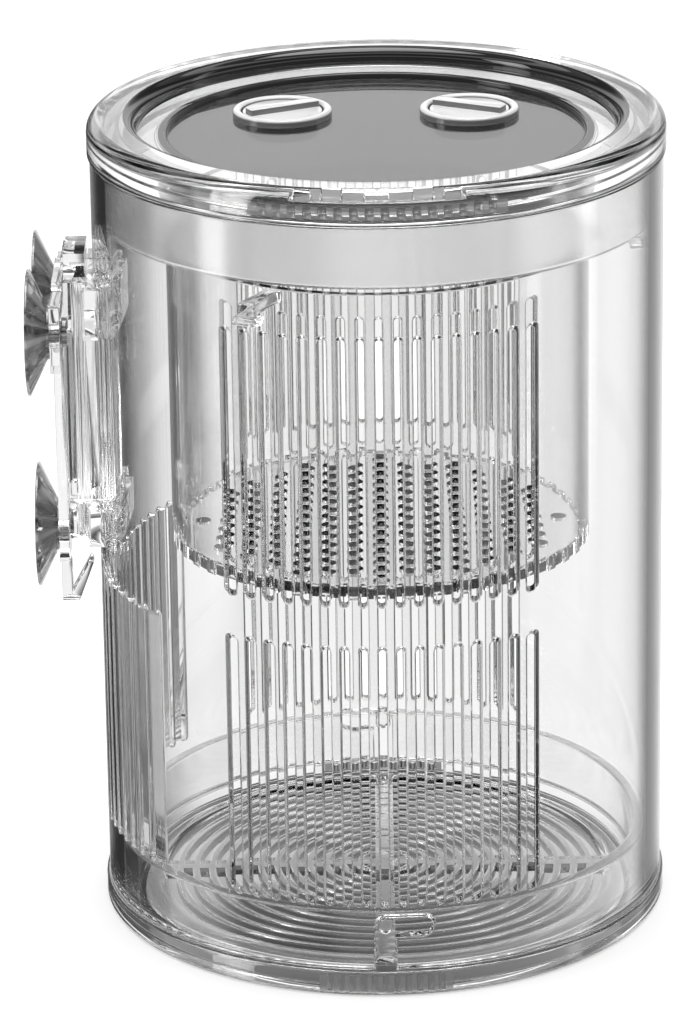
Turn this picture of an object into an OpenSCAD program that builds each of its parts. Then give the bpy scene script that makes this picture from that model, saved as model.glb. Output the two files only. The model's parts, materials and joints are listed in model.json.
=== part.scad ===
// Round fish breeding box of clear plastic.
// A slotted tube stands on a twist-on foot, carries a lift-off lid with two feeding ports,
// holds a hanging basket with a perforated floor, and has a slide-on bracket with three suction cups.
// The origin is the centre of the foot's underside, +Z is up, and the bracket is on the -X side.

/* [Tube] */
// Outside diameter of the tube
tube_d = 110; // [104:1:120]
// Wall of the tube
tube_wall = 2.8; // [2.2:0.1:3.4]
// Height of the tube alone
tube_h = 147.6; // [140:0.2:170]
// Vertical play where the lid and the foot meet the tube
seam_gap = 0.2; // [0.1:0.05:0.3]

/* [Wall slots] */
// Slots side by side on the front and on the back
slot_count = 17; // [9:2:19]
// Slots side by side under the bracket
side_slot_count = 19; // [9:2:21]
// Distance from slot to slot
slot_pitch = 3.5; // [3:0.1:3.8]
// Width of a slot
slot_w = 1.4; // [1:0.1:1.8]
// Height above the foot's edge at which the lower slots start
lower_slot_rise = 13.4; // [12.8:0.2:15]
// Plain band between the lower slots and the basket's underside
lower_slot_band = 5; // [4:0.2:9]
// Height above the basket's underside at which the upper slots start
basket_slot_rise = 3.7; // [3.2:0.1:4.6]
// Plain band between the upper slots and the basket's rim
basket_slot_band = 4.7; // [4:0.1:9]

/* [Lid] */
// How far the lid's edge stands out past the tube
lid_overhang = 0.5; // [0.3:0.1:0.6]
// Height of the lid's rim above the tube
lid_rim_h = 7; // [6:0.2:9]
// Radius of the rim's rounded top edge
lid_edge_r = 2.6; // [1:0.2:3.2]
// Width of the rim seen from above
lid_rim_w = 9.3; // [8:0.1:11]
// Depth from the rim's top to the ledge inside it
lid_step_h = 3.4; // [2.4:0.2:4]
// Width of the ledge inside the rim
lid_step_w = 6.2; // [4:0.2:8]
// Depth from the rim's top to the panel
panel_drop = 4.6; // [4.2:0.1:5]
// Thickness of the panel
panel_t = 1.8; // [1.2:0.1:2]
// Width of the lip that the panel is bonded under
panel_lip = 1.8; // [1:0.1:2.4]
// Depth of the skirt inside the tube
skirt_h = 12.4; // [8:0.2:13]
// Wall of the skirt
skirt_wall = 2; // [1.4:0.1:2.6]
// Play between the skirt and the tube
skirt_gap = 0.3; // [0.2:0.05:0.5]
// Grooves of the finger grip on the rim
lid_grip_count = 16; // [8:1:20]
// Distance from groove to groove on the rim
lid_grip_pitch = 2.9; // [2.4:0.1:3.2]
// Radius of a groove on the rim
lid_grip_r = 0.8; // [0.5:0.1:1]
// Width of the finger notch above the grip
notch_w = 32.6; // [20:0.2:40]
// Depth of the finger notch, measured inwards
notch_depth = 3; // [2:0.1:4]
// Height of the finger notch
notch_h = 2.2; // [1:0.1:2.6]

/* [Feeding ports] */
// Distance between the two ports
port_spacing = 36.2; // [30:0.2:44]
// How far the ports lie behind the lid's centre
port_back = 14; // [0:0.5:16]
// Outside diameter of a port's collar
collar_d = 19.3; // [18.6:0.1:22]
// Height of a collar above the panel
collar_h = 1.5; // [1:0.1:2.4]
// Diameter of a plug's head
plug_head_d = 15.4; // [14:0.1:16]
// Thickness of a plug's head
plug_head_t = 1; // [0.8:0.1:1.4]
// Width of the ledge that the plug's head sits on
plug_ledge = 0.8; // [0.6:0.1:1.4]
// Wall of a plug's hollow neck
plug_wall = 1.3; // [0.8:0.1:1.8]
// Depth of a plug's neck below the panel's top
plug_depth = 5; // [3:0.2:7]
// Play around a plug
plug_gap = 0.3; // [0.2:0.05:0.4]
// Width of the grip bar on a plug
plug_bar_w = 2.8; // [1.6:0.1:4]
// Height of the grip bar on a plug
plug_bar_h = 1.3; // [0.6:0.1:2.4]
// Turn of each plug's bar away from the line of the ports
plug_bar_turn = 27; // [0:1:60]

/* [Basket] */
// Gap between the basket and the tube
basket_gap = 11.4; // [10:0.1:13]
// Wall of the basket
basket_wall_t = 1.8; // [1.4:0.1:2.4]
// Height of the basket
basket_h = 60.6; // [58.4:0.2:62]
// Height of the basket's rim below the tube's top
basket_rim_drop = 16.6; // [14.6:0.2:20]
// Play around the basket's floor
floor_gap = 0.3; // [0.1:0.05:0.4]
// Thickness of the basket's floor
floor_t = 2; // [1.4:0.1:2.4]
// Teeth around the floor, which sit in notches of the wall
tooth_count = 48; // [24:4:60]
// Width of a tooth
tooth_w = 2.3; // [1.6:0.1:2.6]
// Distance from hole to hole in the floor
hole_pitch = 5; // [4.6:0.1:6]
// Diameter of a hole in the floor
hole_d = 3.2; // [2.4:0.1:3.6]
// Plain border between the outer holes and the wall
floor_border = 2; // [1.4:0.2:6]
// Width of each lug that carries the basket
lug_w = 3.2; // [2.6:0.2:8]
// Thickness of a lug
lug_t = 2.4; // [1.6:0.1:3]
// Distance from a lug's end to the tube
lug_gap = 0.8; // [0.5:0.1:1.2]
// Width of the ledge under a lug
ledge_w = 5; // [4:0.2:12]
// How far a ledge reaches in from the tube
ledge_reach = 3.2; // [2.4:0.1:5]
// Thickness of a ledge
ledge_t = 1.6; // [1.2:0.1:2]

/* [Foot] */
// How far the foot's edge stands out past the tube
foot_overhang = 0.6; // [0.3:0.1:0.8]
// Height of the foot's edge
foot_h = 5; // [4.6:0.1:7]
// Bevel on the foot's outer edges
foot_bevel = 0.9; // [0.4:0.1:1.4]
// Height of the collar inside the tube, above the foot's edge
spigot_h = 11.5; // [11:0.1:12]
// Wall of the collar inside the tube
spigot_wall = 2.4; // [1.8:0.1:3]
// Play between the collar and the tube
spigot_gap = 0.3; // [0.2:0.05:0.5]
// Height of the ledge that the grille lies on
grille_z = 2.4; // [1.4:0.1:2.6]
// Thickness of the grille
grille_t = 2; // [1.4:0.1:2.4]
// Width of the ledge that the grille lies on
grille_ledge = 1.9; // [1.2:0.1:2.6]
// Radius of the solid middle of the grille
hub_r = 2.9; // [2:0.1:4]
// Distance from ring slot to ring slot
ring_pitch = 3.25; // [2.8:0.05:4]
// Width of a ring slot
ring_slot_w = 1.6; // [1:0.1:1.9]
// Width of the spokes across the ring slots
spoke_w = 3.7; // [2.4:0.1:6]
// Grooves of the foot's finger grip
foot_grip_count = 11; // [7:1:15]
// Distance from groove to groove on the foot
foot_grip_pitch = 2.15; // [1.8:0.05:2.6]
// Radius of a groove on the foot
foot_grip_r = 0.65; // [0.4:0.05:0.8]

/* [Twist lock] */
// Radius of the foot's two locking pins
pin_r = 1.6; // [1.2:0.1:1.8]
// Height of the pins above the foot's edge
pin_rise = 9; // [8.6:0.1:9.2]
// Play around a pin in its slot
pin_gap = 0.35; // [0.2:0.05:0.5]
// Distance from a pin's end to the tube's outer face
pin_inset = 0.4; // [0.2:0.1:0.8]
// Turn that locks the foot, in degrees
lock_turn = 7.5; // [6:0.5:12]

/* [Bracket] */
// Play between the bracket's sliding faces
slide_gap = 0.3; // [0.2:0.05:0.4]
// Material between the bar's channel and the tube
loop_web = 1; // [0.8:0.1:1.6]
// Thickness of the lips in front of the bar
loop_lip = 1.5; // [0.8:0.1:1.8]
// Half the opening between the lips
loop_mouth = 3.4; // [3.2:0.1:4]
// Side walls of the loops
loop_side = 2; // [1.4:0.1:3]
// Width of the pads that hug the tube
pad_w = 28; // [22:0.5:34]
// Height of the upper loop
upper_loop_h = 10; // [8:0.5:12]
// Height of the lower loop
lower_loop_h = 7.2; // [6:0.2:9]
// Distance from the tube's top down to the upper loop
upper_loop_drop = 23.8; // [22:0.2:30]
// Clear distance between the two loops
loop_spacing = 34.8; // [28:0.2:40]
// Gap between the guide cheeks and the lower loop
cheek_gap = 0.4; // [0.2:0.1:1]
// Width of the windows through which the loops are fixed
window_w = 12; // [8:0.5:14]
// Material left above and below a window in a loop's height
window_inset = 1.4; // [1:0.1:2]
// Width of the heads inside the tube
anchor_w = 18; // [16:0.5:22]
// Thickness of the heads inside the tube
anchor_t = 2.6; // [1.6:0.1:3]
// Width of the sliding bar
bar_w = 12.8; // [10:0.2:16]
// Thickness of the sliding bar
bar_t = 2.3; // [1.8:0.1:3]
// Thickness of the plate that carries the cups
plate_t = 2; // [1.6:0.1:3]
// Width of the plate
plate_w = 16; // [14:0.5:20]
// Length of the crossbar that carries the two upper cups
crossbar_l = 38; // [36:0.5:44]
// Height of the crossbar
crossbar_h = 13; // [11:0.5:16]
// Width of the neck between the plate and the bar
neck_w = 4.8; // [3:0.2:5.4]
// Height of the thumb tab on the bar
tab_h = 4.8; // [3.6:0.1:8]
// Width of the thumb tab
tab_w = 12; // [8:0.2:18]
// Length of the snap tongue under the plate
tongue_l = 10; // [8:0.5:14]
// Width of the snap tongue
tongue_w = 5; // [3:0.2:5.6]
// Thickness of the snap tongue's barb
barb_t = 0.9; // [0.7:0.1:1.4]
// Height of the barb as a share of the tongue's length
barb_share = 0.8; // [0.6:0.05:0.9]

/* [Suction cups] */
// Diameter of a cup's rim
cup_d = 24.4; // [20:0.2:26]
// Depth of a cup from its rim to the plate
cup_depth = 4.3; // [3.6:0.1:6]
// Thickness of the cup at its rim
cup_lip = 0.5; // [0.4:0.1:1]
// Diameter of the cup's thick middle
cup_hub_d = 10.4; // [8:0.2:12]
// Thickness of the cup's middle
cup_floor = 1.1; // [0.8:0.1:1.6]
// Diameter of the stem in the plate
stem_d = 4.2; // [3.4:0.1:4.8]
// Diameter of the head behind the plate
head_d = 5.8; // [5.2:0.1:6]
// Thickness of the head behind the plate
head_t = 1.1; // [0.7:0.1:1.2]
// Play of a stem in its hole
stem_gap = 0.1; // [0.05:0.01:0.15]
// Distance between the two upper cups
cup_spacing = 26; // [25:0.5:30]
// Height of the upper cups above the upper loop's underside
upper_cup_rise = 1.5; // [0:0.1:3]
// Height of the lower cup below the lower loop's middle
lower_cup_drop = 3.6; // [1:0.1:5]

/* [Hidden] */
$fn = 96;
fine_fn = 32;
cut = 1;
seat = 0.05;

tube_r = tube_d / 2;
tube_in_r = tube_r - tube_wall;
tube_z = foot_h + seam_gap;
tube_top_z = tube_z + tube_h;

basket_r = tube_in_r - basket_gap;
basket_in_r = basket_r - basket_wall_t;
basket_top_z = tube_top_z - basket_rim_drop;
basket_z = basket_top_z - basket_h;
lower_slot_z = foot_h + lower_slot_rise;
lower_slot_h = basket_z - lower_slot_band - lower_slot_z;
upper_slot_z = basket_z + basket_slot_rise;
upper_slot_h = basket_top_z - basket_slot_band - upper_slot_z;
floor_r = basket_in_r - floor_gap;
tooth_h = floor_t + floor_gap;
holes_r = floor_r - floor_border - hole_d / 2;
hole_steps = floor(holes_r / hole_pitch);
lug_z = basket_top_z - lug_t;
lug_end_r = tube_in_r - lug_gap;
lug_angles = [2, 122, 242];
ledge_z = lug_z - seam_gap - ledge_t;

lid_z = tube_top_z + seam_gap;
lid_top_z = lid_z + lid_rim_h;
lid_r = tube_r + lid_overhang;
rim_in_r = lid_r - lid_rim_w;
step_in_r = rim_in_r - lid_step_w;
step_z = lid_top_z - lid_step_h;
panel_top_z = lid_top_z - panel_drop;
panel_z = panel_top_z - panel_t;
rebate_r = step_in_r + panel_lip + plug_gap;
skirt_r = tube_in_r - skirt_gap;
skirt_in_r = skirt_r - skirt_wall;
skirt_z = lid_z - skirt_h;
grip_margin = 0.8;

collar_in_r = plug_head_d / 2 + plug_gap;
plug_neck_r = plug_head_d / 2 - plug_ledge;
port_hole_r = plug_neck_r + plug_gap;

foot_r = tube_r + foot_overhang;
spigot_r = tube_in_r - spigot_gap;
spigot_in_r = spigot_r - spigot_wall;
spigot_top_z = foot_h + spigot_h;
spigot_bevel = 0.4;
grille_r = spigot_in_r - slide_gap;
grille_ring_count = floor((spigot_in_r - grille_ledge - hub_r - ring_slot_w) / ring_pitch);
pin_z = foot_h + pin_rise;
pin_slot_r = pin_r + pin_gap;
pin_end_r = tube_r - pin_inset;
lock_reach = tube_r * sin(lock_turn);

// Distances out from the tube's outer face
bar_out = loop_web + slide_gap;
channel_t = bar_t + 2 * slide_gap;
lip_out = loop_web + channel_t;
loop_out = lip_out + loop_lip;
plate_out = loop_out + slide_gap;
cup_seat_out = plate_out + plate_t + stem_gap;
channel_w = bar_w + 2 * slide_gap;
loop_w = channel_w + 2 * loop_side;
pad_t = 1.5;

upper_loop_z = tube_top_z - upper_loop_drop - upper_loop_h;
lower_loop_z = upper_loop_z - loop_spacing - lower_loop_h;
upper_loop_top_z = upper_loop_z + upper_loop_h;
lower_loop_top_z = lower_loop_z + lower_loop_h;
tab_z = upper_loop_top_z + seam_gap;
bar_z = lower_loop_z - seam_gap;
upper_cup_z = upper_loop_z + upper_cup_rise;
lower_cup_z = lower_loop_z + lower_loop_h / 2 - lower_cup_drop;
plate_foot_z = lower_cup_z - cup_hub_d / 2;
crossbar_z = upper_cup_z - crossbar_h / 2;

// Points of a quarter round about [x, z], from one angle to another
function round_points(x, z, r, from, to, steps = 6) =
    [for (i = [0 : steps]) let (a = from + (to - from) * i / steps) [x + r * cos(a), z + r * sin(a)]];

// A ring or disc between two heights
module ring(outer_r, inner_r, z, h) {
    translate([0, 0, z])
        difference() {
            cylinder(r = outer_r, h = h);
            translate([0, 0, -cut]) cylinder(r = inner_r, h = h + 2 * cut);
        }
}

// A block centred on the X axis, standing out from the tube on the bracket's side
module side_block(out_from, out_to, w, z, h) {
    translate([-tube_r - out_to, -w / 2, z]) cube([out_to - out_from, w, h]);
}

// Outline of one slot with round ends, standing on its lower end
module slot_outline(h) {
    translate([-slot_w / 2, slot_w / 2]) square([slot_w, h - slot_w]);
    translate([0, slot_w / 2]) circle(d = slot_w, $fn = fine_fn);
    translate([0, h - slot_w / 2]) circle(d = slot_w, $fn = fine_fn);
}

// A row of parallel slots of height h, cut along Y from y_from to y_to
module slot_row(count, z, h, y_from, y_to) {
    for (i = [0 : count - 1])
        translate([(i - (count - 1) / 2) * slot_pitch, y_to, z])
            rotate([90, 0, 0]) linear_extrude(y_to - y_from) slot_outline(h);
}

// Slot for one locking pin: a leg from the tube's lower edge and an arm to the side
module lock_slot() {
    leg_h = pin_z - tube_z;
    rotate([90, 0, 0])
        linear_extrude(tube_r + cut) {
            translate([-pin_slot_r, tube_z - cut]) square([2 * pin_slot_r, leg_h + cut]);
            translate([0, pin_z]) circle(r = pin_slot_r, $fn = fine_fn);
            translate([0, pin_z - pin_slot_r]) square([lock_reach, 2 * pin_slot_r]);
            translate([lock_reach, pin_z]) circle(r = pin_slot_r, $fn = fine_fn);
        }
}

// Window in the tube through which a loop is fixed
module loop_window(loop_z, loop_h) {
    side_block(-tube_wall - cut, cut, window_w, loop_z + window_inset, loop_h - 2 * window_inset);
}

// Clear tube with three groups of slots, two lock slots and two windows
module tube() {
    color([0.86, 0.89, 0.91, 0.35])
        difference() {
            ring(tube_r, tube_in_r, tube_z, tube_h);
            slot_row(slot_count, lower_slot_z, lower_slot_h, -tube_r - cut, tube_r + cut);
            slot_row(slot_count, upper_slot_z, upper_slot_h, -tube_r - cut, tube_r + cut);
            rotate([0, 0, 90])
                slot_row(side_slot_count, lower_slot_z, lower_slot_h, tube_r / 4, tube_r + cut);
            for (turn = [0, 180]) rotate([0, 0, turn]) lock_slot();
            loop_window(upper_loop_z, upper_loop_h);
            loop_window(lower_loop_z, lower_loop_h);
        }
}

// Three ledges inside the tube that the basket's lugs rest on
module basket_ledges() {
    color([0.86, 0.89, 0.91, 0.35])
        for (a = lug_angles)
            rotate([0, 0, a])
                intersection() {
                    ring(tube_in_r - seat, tube_in_r - ledge_reach, ledge_z, ledge_t);
                    translate([0, -ledge_w / 2, ledge_z]) cube([tube_r, ledge_w, ledge_t]);
                }
}

// Loop that is fixed through a window of the tube and guides the sliding bar
module loop(z, h) {
    difference() {
        union() {
            side_block(-tube_wall, loop_out, loop_w, z, h);
            side_block(-tube_wall, pad_t, pad_w, z, h);
        }
        translate([0, 0, z - cut]) cylinder(r = tube_r + seat, h = h + 2 * cut);
        side_block(loop_web, lip_out, channel_w, z - cut, h + 2 * cut);
        side_block(lip_out - seat, loop_out + cut, 2 * loop_mouth, z - cut, h + 2 * cut);
    }
    side_block(-tube_wall - anchor_t / 2, loop_web / 2, window_w - 2 * slide_gap,
        z + window_inset + slide_gap, h - 2 * window_inset - 2 * slide_gap);
    intersection() {
        side_block(-tube_wall - anchor_t, 0, anchor_w, z + slide_gap, h - 2 * slide_gap);
        translate([0, 0, z]) cylinder(r = tube_in_r - seat, h = h);
    }
}

// Upper loop with two guide cheeks that run down to the lower loop
module upper_loop() {
    cheek_z = lower_loop_top_z + cheek_gap;
    cheek_h = upper_loop_z - cheek_z;
    color([0.9, 0.92, 0.94, 0.45]) {
        loop(upper_loop_z, upper_loop_h);
        difference() {
            side_block(-tube_wall, lip_out, loop_w, cheek_z, cheek_h);
            translate([0, 0, cheek_z - cut]) cylinder(r = tube_r + seat, h = cheek_h + 2 * cut);
            side_block(-tube_wall - cut, lip_out + cut, channel_w, cheek_z - cut, cheek_h + cut);
        }
    }
}

// Lower loop
module lower_loop() {
    color([0.9, 0.92, 0.94, 0.45]) loop(lower_loop_z, lower_loop_h);
}

// Rim of the lid with its ledge, its skirt, its finger grip and its notch
module lid_rim() {
    edge_x = lid_r - lid_edge_r;
    edge_z = lid_top_z - lid_edge_r;
    profile = concat(
        [[skirt_in_r, skirt_z], [skirt_r, skirt_z], [skirt_r, lid_z], [lid_r, lid_z]],
        round_points(edge_x, edge_z, lid_edge_r, 0, 90),
        [[rim_in_r, lid_top_z], [rim_in_r, step_z], [step_in_r, step_z], [step_in_r, panel_top_z]],
        [[rebate_r, panel_top_z], [rebate_r, lid_z], [skirt_in_r, lid_z]]
    );
    groove_h = lid_rim_h - notch_h - 3 * grip_margin;
    groove_step = lid_grip_pitch / lid_r * 180 / PI;
    color([0.9, 0.92, 0.94, 0.45])
        difference() {
            rotate_extrude() polygon(profile);
            translate([-notch_w / 2, -lid_r - cut, lid_top_z - notch_h])
                cube([notch_w, notch_depth + cut, notch_h + cut]);
            for (i = [0 : lid_grip_count - 1])
                rotate([0, 0, -90 + (i - (lid_grip_count - 1) / 2) * groove_step])
                    translate([lid_r, 0, lid_z + 2 * grip_margin])
                        cylinder(r = lid_grip_r, h = groove_h, $fn = fine_fn);
        }
}

// Panel of the lid with its two port holes
module lid_panel() {
    color([0.8, 0.82, 0.84, 0.5])
        difference() {
            translate([0, 0, panel_z]) cylinder(r = step_in_r + panel_lip, h = panel_t);
            for (side = [-1, 1])
                translate([side * port_spacing / 2, port_back, panel_z - cut])
                    cylinder(r = port_hole_r, h = panel_t + 2 * cut);
        }
}

// Collar around one port hole
module port_collar(side) {
    color([0.92, 0.94, 0.95, 0.5])
        translate([side * port_spacing / 2, port_back, 0])
            ring(collar_d / 2, collar_in_r, panel_top_z, collar_h);
}

module left_port_collar() { port_collar(-1); }

module right_port_collar() { port_collar(1); }

// Hollow plug with a grip bar across its head
module port_plug(side) {
    head_r = plug_head_d / 2;
    color([0.92, 0.94, 0.95, 0.5])
        translate([side * port_spacing / 2, port_back, panel_top_z]) {
            difference() {
                union() {
                    cylinder(r = head_r, h = plug_head_t);
                    translate([0, 0, -plug_depth]) cylinder(r = plug_neck_r, h = plug_depth);
                }
                translate([0, 0, -plug_depth - cut])
                    cylinder(r = plug_neck_r - plug_wall, h = plug_depth + cut);
            }
            intersection() {
                rotate([0, 0, -side * plug_bar_turn])
                    translate([-head_r, -plug_bar_w / 2, 0])
                        cube([plug_head_d, plug_bar_w, plug_head_t + plug_bar_h]);
                cylinder(r = head_r - plug_gap, h = plug_head_t + plug_bar_h);
            }
        }
}

module left_port_plug() { port_plug(-1); }

module right_port_plug() { port_plug(1); }

// Teeth of the basket's floor, or the notches that they sit in
module teeth(from_r, to_r, w, z, h) {
    for (i = [0 : tooth_count - 1])
        rotate([0, 0, 360 / tooth_count * (i + 0.5)])
            translate([from_r, -w / 2, z]) cube([to_r - from_r, w, h]);
}

// Slotted wall of the basket, with notches along its lower edge
module basket_wall() {
    color([0.86, 0.89, 0.91, 0.35])
        difference() {
            ring(basket_r, basket_in_r, basket_z, basket_h);
            slot_row(slot_count, upper_slot_z, upper_slot_h, -basket_r - cut, basket_r + cut);
            teeth(basket_in_r - cut, basket_r + cut, tooth_w + 2 * floor_gap,
                basket_z - cut, tooth_h + floor_gap + cut);
        }
}

// Perforated floor of the basket, with teeth around its edge
module basket_floor() {
    color([0.84, 0.87, 0.9, 0.4])
        difference() {
            union() {
                translate([0, 0, basket_z + floor_gap]) cylinder(r = floor_r, h = floor_t);
                teeth(floor_r - cut, basket_r - floor_gap, tooth_w, basket_z + floor_gap, floor_t);
            }
            for (i = [-hole_steps : hole_steps])
                for (j = [-hole_steps : hole_steps])
                    if (norm([i, j]) * hole_pitch <= holes_r)
                        translate([i * hole_pitch, j * hole_pitch, basket_z - cut])
                            cylinder(d = hole_d, h = floor_gap + floor_t + 2 * cut, $fn = fine_fn);
        }
}

// Three lugs on the basket's rim
module basket_lugs() {
    color([0.86, 0.89, 0.91, 0.35])
        for (a = lug_angles)
            rotate([0, 0, a])
                intersection() {
                    ring(lug_end_r, basket_r + seat, lug_z, lug_t);
                    translate([0, -lug_w / 2, lug_z]) cube([tube_r, lug_w, lug_t]);
                }
}

// Locking pin on the foot's collar, facing the front
module lock_pin() {
    translate([0, -spigot_r + spigot_wall / 2, pin_z])
        rotate([90, 0, 0]) cylinder(r = pin_r, h = pin_end_r - spigot_r + spigot_wall / 2, $fn = fine_fn);
}

// Foot: an outer edge with finger grips, a collar inside the tube and two locking pins
module foot_ring() {
    profile = [
        [spigot_in_r - grille_ledge, 0], [foot_r - foot_bevel, 0], [foot_r, foot_bevel],
        [foot_r, foot_h - foot_bevel], [foot_r - foot_bevel, foot_h], [spigot_r, foot_h],
        [spigot_r, spigot_top_z - spigot_bevel], [spigot_r - spigot_bevel, spigot_top_z],
        [spigot_in_r + spigot_bevel, spigot_top_z], [spigot_in_r, spigot_top_z - spigot_bevel],
        [spigot_in_r, grille_z], [spigot_in_r - grille_ledge, grille_z],
    ];
    groove_step = foot_grip_pitch / foot_r * 180 / PI;
    groove_z = foot_bevel;
    color([0.86, 0.89, 0.91, 0.35]) {
        difference() {
            rotate_extrude() polygon(profile);
            for (turn = [-90, 90])
                for (i = [0 : foot_grip_count - 1])
                    rotate([0, 0, turn + (i - (foot_grip_count - 1) / 2) * groove_step])
                        translate([foot_r, 0, groove_z])
                            cylinder(r = foot_grip_r, h = foot_h - 2 * foot_bevel, $fn = fine_fn);
        }
        for (turn = [0, 180]) rotate([0, 0, turn]) lock_pin();
    }
}

// Grille in the foot: ring slots crossed by four spokes, with a small pad under its middle
module foot_grille() {
    color([0.84, 0.87, 0.9, 0.4]) {
        difference() {
            translate([0, 0, grille_z]) cylinder(r = grille_r, h = grille_t);
            difference() {
                for (i = [0 : grille_ring_count - 1])
                    ring(hub_r + i * ring_pitch + ring_slot_w, hub_r + i * ring_pitch,
                        grille_z - cut, grille_t + 2 * cut);
                for (turn = [0, 90])
                    rotate([0, 0, turn])
                        translate([-foot_r, -spoke_w / 2, grille_z - 2 * cut])
                            cube([2 * foot_r, spoke_w, grille_t + 4 * cut]);
            }
        }
        cylinder(r = hub_r, h = grille_z + grille_t / 2);
    }
}

// Plate that carries the three cups, joined to the bar by a neck between the loops
module cup_plate() {
    hole_r = stem_d / 2 + stem_gap;
    neck_margin = 2;
    cup_places = [
        [-cup_spacing / 2, upper_cup_z],
        [cup_spacing / 2, upper_cup_z],
        [0, lower_cup_z],
    ];
    color([0.9, 0.92, 0.94, 0.45])
        difference() {
            union() {
                side_block(plate_out, plate_out + plate_t, plate_w,
                    plate_foot_z, upper_loop_top_z - plate_foot_z);
                side_block(plate_out, plate_out + plate_t, crossbar_l, crossbar_z, crossbar_h);
                side_block(bar_out + bar_t, plate_out + seat, neck_w, lower_loop_top_z + neck_margin,
                    upper_loop_z - lower_loop_top_z - 2 * neck_margin);
            }
            for (place = cup_places)
                translate([-tube_r - plate_out - plate_t - cut, place[0], place[1]])
                    rotate([0, 90, 0]) cylinder(r = hole_r, h = plate_t + 2 * cut, $fn = fine_fn);
        }
}

// Bar that slides through both loops
module slide_bar() {
    flute_r = 0.5;
    color([0.9, 0.92, 0.94, 0.45])
        difference() {
            side_block(bar_out, bar_out + bar_t, bar_w, bar_z, tab_z - bar_z);
            for (side = [-1, 1])
                translate([-tube_r - bar_out - bar_t / 2, side * bar_w / 2, bar_z - cut])
                    cylinder(r = flute_r, h = tab_z - bar_z + 2 * cut, $fn = fine_fn);
        }
}

// Thumb tab that rests on the upper loop, with two ridges across it
module thumb_tab() {
    ridge_r = 0.5;
    ridge_shares = [0.45, 0.75];
    color([0.92, 0.94, 0.95, 0.5]) {
        side_block(bar_out, loop_out, tab_w, tab_z, tab_h);
        for (share = ridge_shares)
            translate([-tube_r - loop_out, -tab_w / 2, tab_z + share * tab_h])
                rotate([-90, 0, 0]) cylinder(r = ridge_r, h = tab_w, $fn = fine_fn);
    }
}

// Snap tongue under the plate, with a slanting barb that points up towards the tube
module snap_tongue() {
    foot_t = 1.4;
    barb_top = tongue_l * barb_share;
    blade_x = -tube_r - plate_out;
    barb_x = -tube_r - bar_out - barb_t;
    color([0.9, 0.92, 0.94, 0.45])
        translate([0, tongue_w / 2, plate_foot_z - tongue_l])
            rotate([90, 0, 0])
                linear_extrude(tongue_w) {
                    translate([blade_x - plate_t, 0]) square([plate_t, tongue_l]);
                    polygon([
                        [blade_x - plate_t / 2, 0], [blade_x + foot_t, 0],
                        [barb_x + barb_t, barb_top], [barb_x, barb_top], [blade_x - seat, foot_t],
                        [blade_x - plate_t / 2, foot_t],
                    ]);
                }
}

// Suction cup at a place on the plate, facing away from the tube, with a stem and a head
module cup(y, z) {
    cup_r = cup_d / 2;
    middle_r = cup_hub_d / 2;
    head_from = cup_seat_out - plate_t - 2 * stem_gap;
    rim_out = cup_seat_out + cup_depth;
    profile = [
        [0, head_from - head_t], [head_d / 2, head_from - head_t], [head_d / 2, head_from],
        [stem_d / 2, head_from], [stem_d / 2, cup_seat_out], [middle_r, cup_seat_out],
        [middle_r, cup_seat_out + cup_lip], [cup_r, rim_out - cup_lip], [cup_r, rim_out],
        [cup_r - 2 * cup_lip, rim_out], [middle_r - cup_lip, cup_seat_out + cup_floor + cup_lip],
        [0, cup_seat_out + cup_floor],
    ];
    color([0.45, 0.47, 0.5, 0.7])
        translate([-tube_r, y, z]) rotate([0, -90, 0]) rotate_extrude() polygon(profile);
}

module upper_front_cup() { cup(-cup_spacing / 2, upper_cup_z); }

module upper_rear_cup() { cup(cup_spacing / 2, upper_cup_z); }

module lower_cup() { cup(0, lower_cup_z); }

tube();
basket_ledges();
upper_loop();
lower_loop();
lid_rim();
lid_panel();
left_port_collar();
right_port_collar();
left_port_plug();
right_port_plug();
basket_wall();
basket_floor();
basket_lugs();
foot_ring();
foot_grille();
cup_plate();
slide_bar();
thumb_tab();
snap_tongue();
upper_front_cup();
upper_rear_cup();
lower_cup();
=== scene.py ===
import json
import math

import bmesh
import bpy
from mathutils import Matrix, Vector
from mathutils.geometry import delaunay_2d_cdt

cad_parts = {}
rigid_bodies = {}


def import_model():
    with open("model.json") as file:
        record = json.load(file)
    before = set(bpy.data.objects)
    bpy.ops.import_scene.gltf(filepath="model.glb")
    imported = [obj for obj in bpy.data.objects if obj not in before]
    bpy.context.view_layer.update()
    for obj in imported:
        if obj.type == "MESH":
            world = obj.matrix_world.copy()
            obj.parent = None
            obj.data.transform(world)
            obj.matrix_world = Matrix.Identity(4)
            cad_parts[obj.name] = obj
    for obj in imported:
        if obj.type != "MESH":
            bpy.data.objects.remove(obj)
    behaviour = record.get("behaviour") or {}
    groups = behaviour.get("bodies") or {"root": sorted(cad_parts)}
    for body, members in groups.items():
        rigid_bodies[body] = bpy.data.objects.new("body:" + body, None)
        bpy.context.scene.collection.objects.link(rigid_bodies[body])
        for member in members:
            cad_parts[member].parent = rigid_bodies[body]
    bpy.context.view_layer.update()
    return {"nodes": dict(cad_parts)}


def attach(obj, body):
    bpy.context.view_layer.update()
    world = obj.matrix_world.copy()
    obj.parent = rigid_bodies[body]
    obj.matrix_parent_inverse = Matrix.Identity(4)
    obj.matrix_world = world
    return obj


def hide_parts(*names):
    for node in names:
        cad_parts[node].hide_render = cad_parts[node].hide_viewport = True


for stray in list(bpy.data.objects):
    bpy.data.objects.remove(stray)
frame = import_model()

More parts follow.
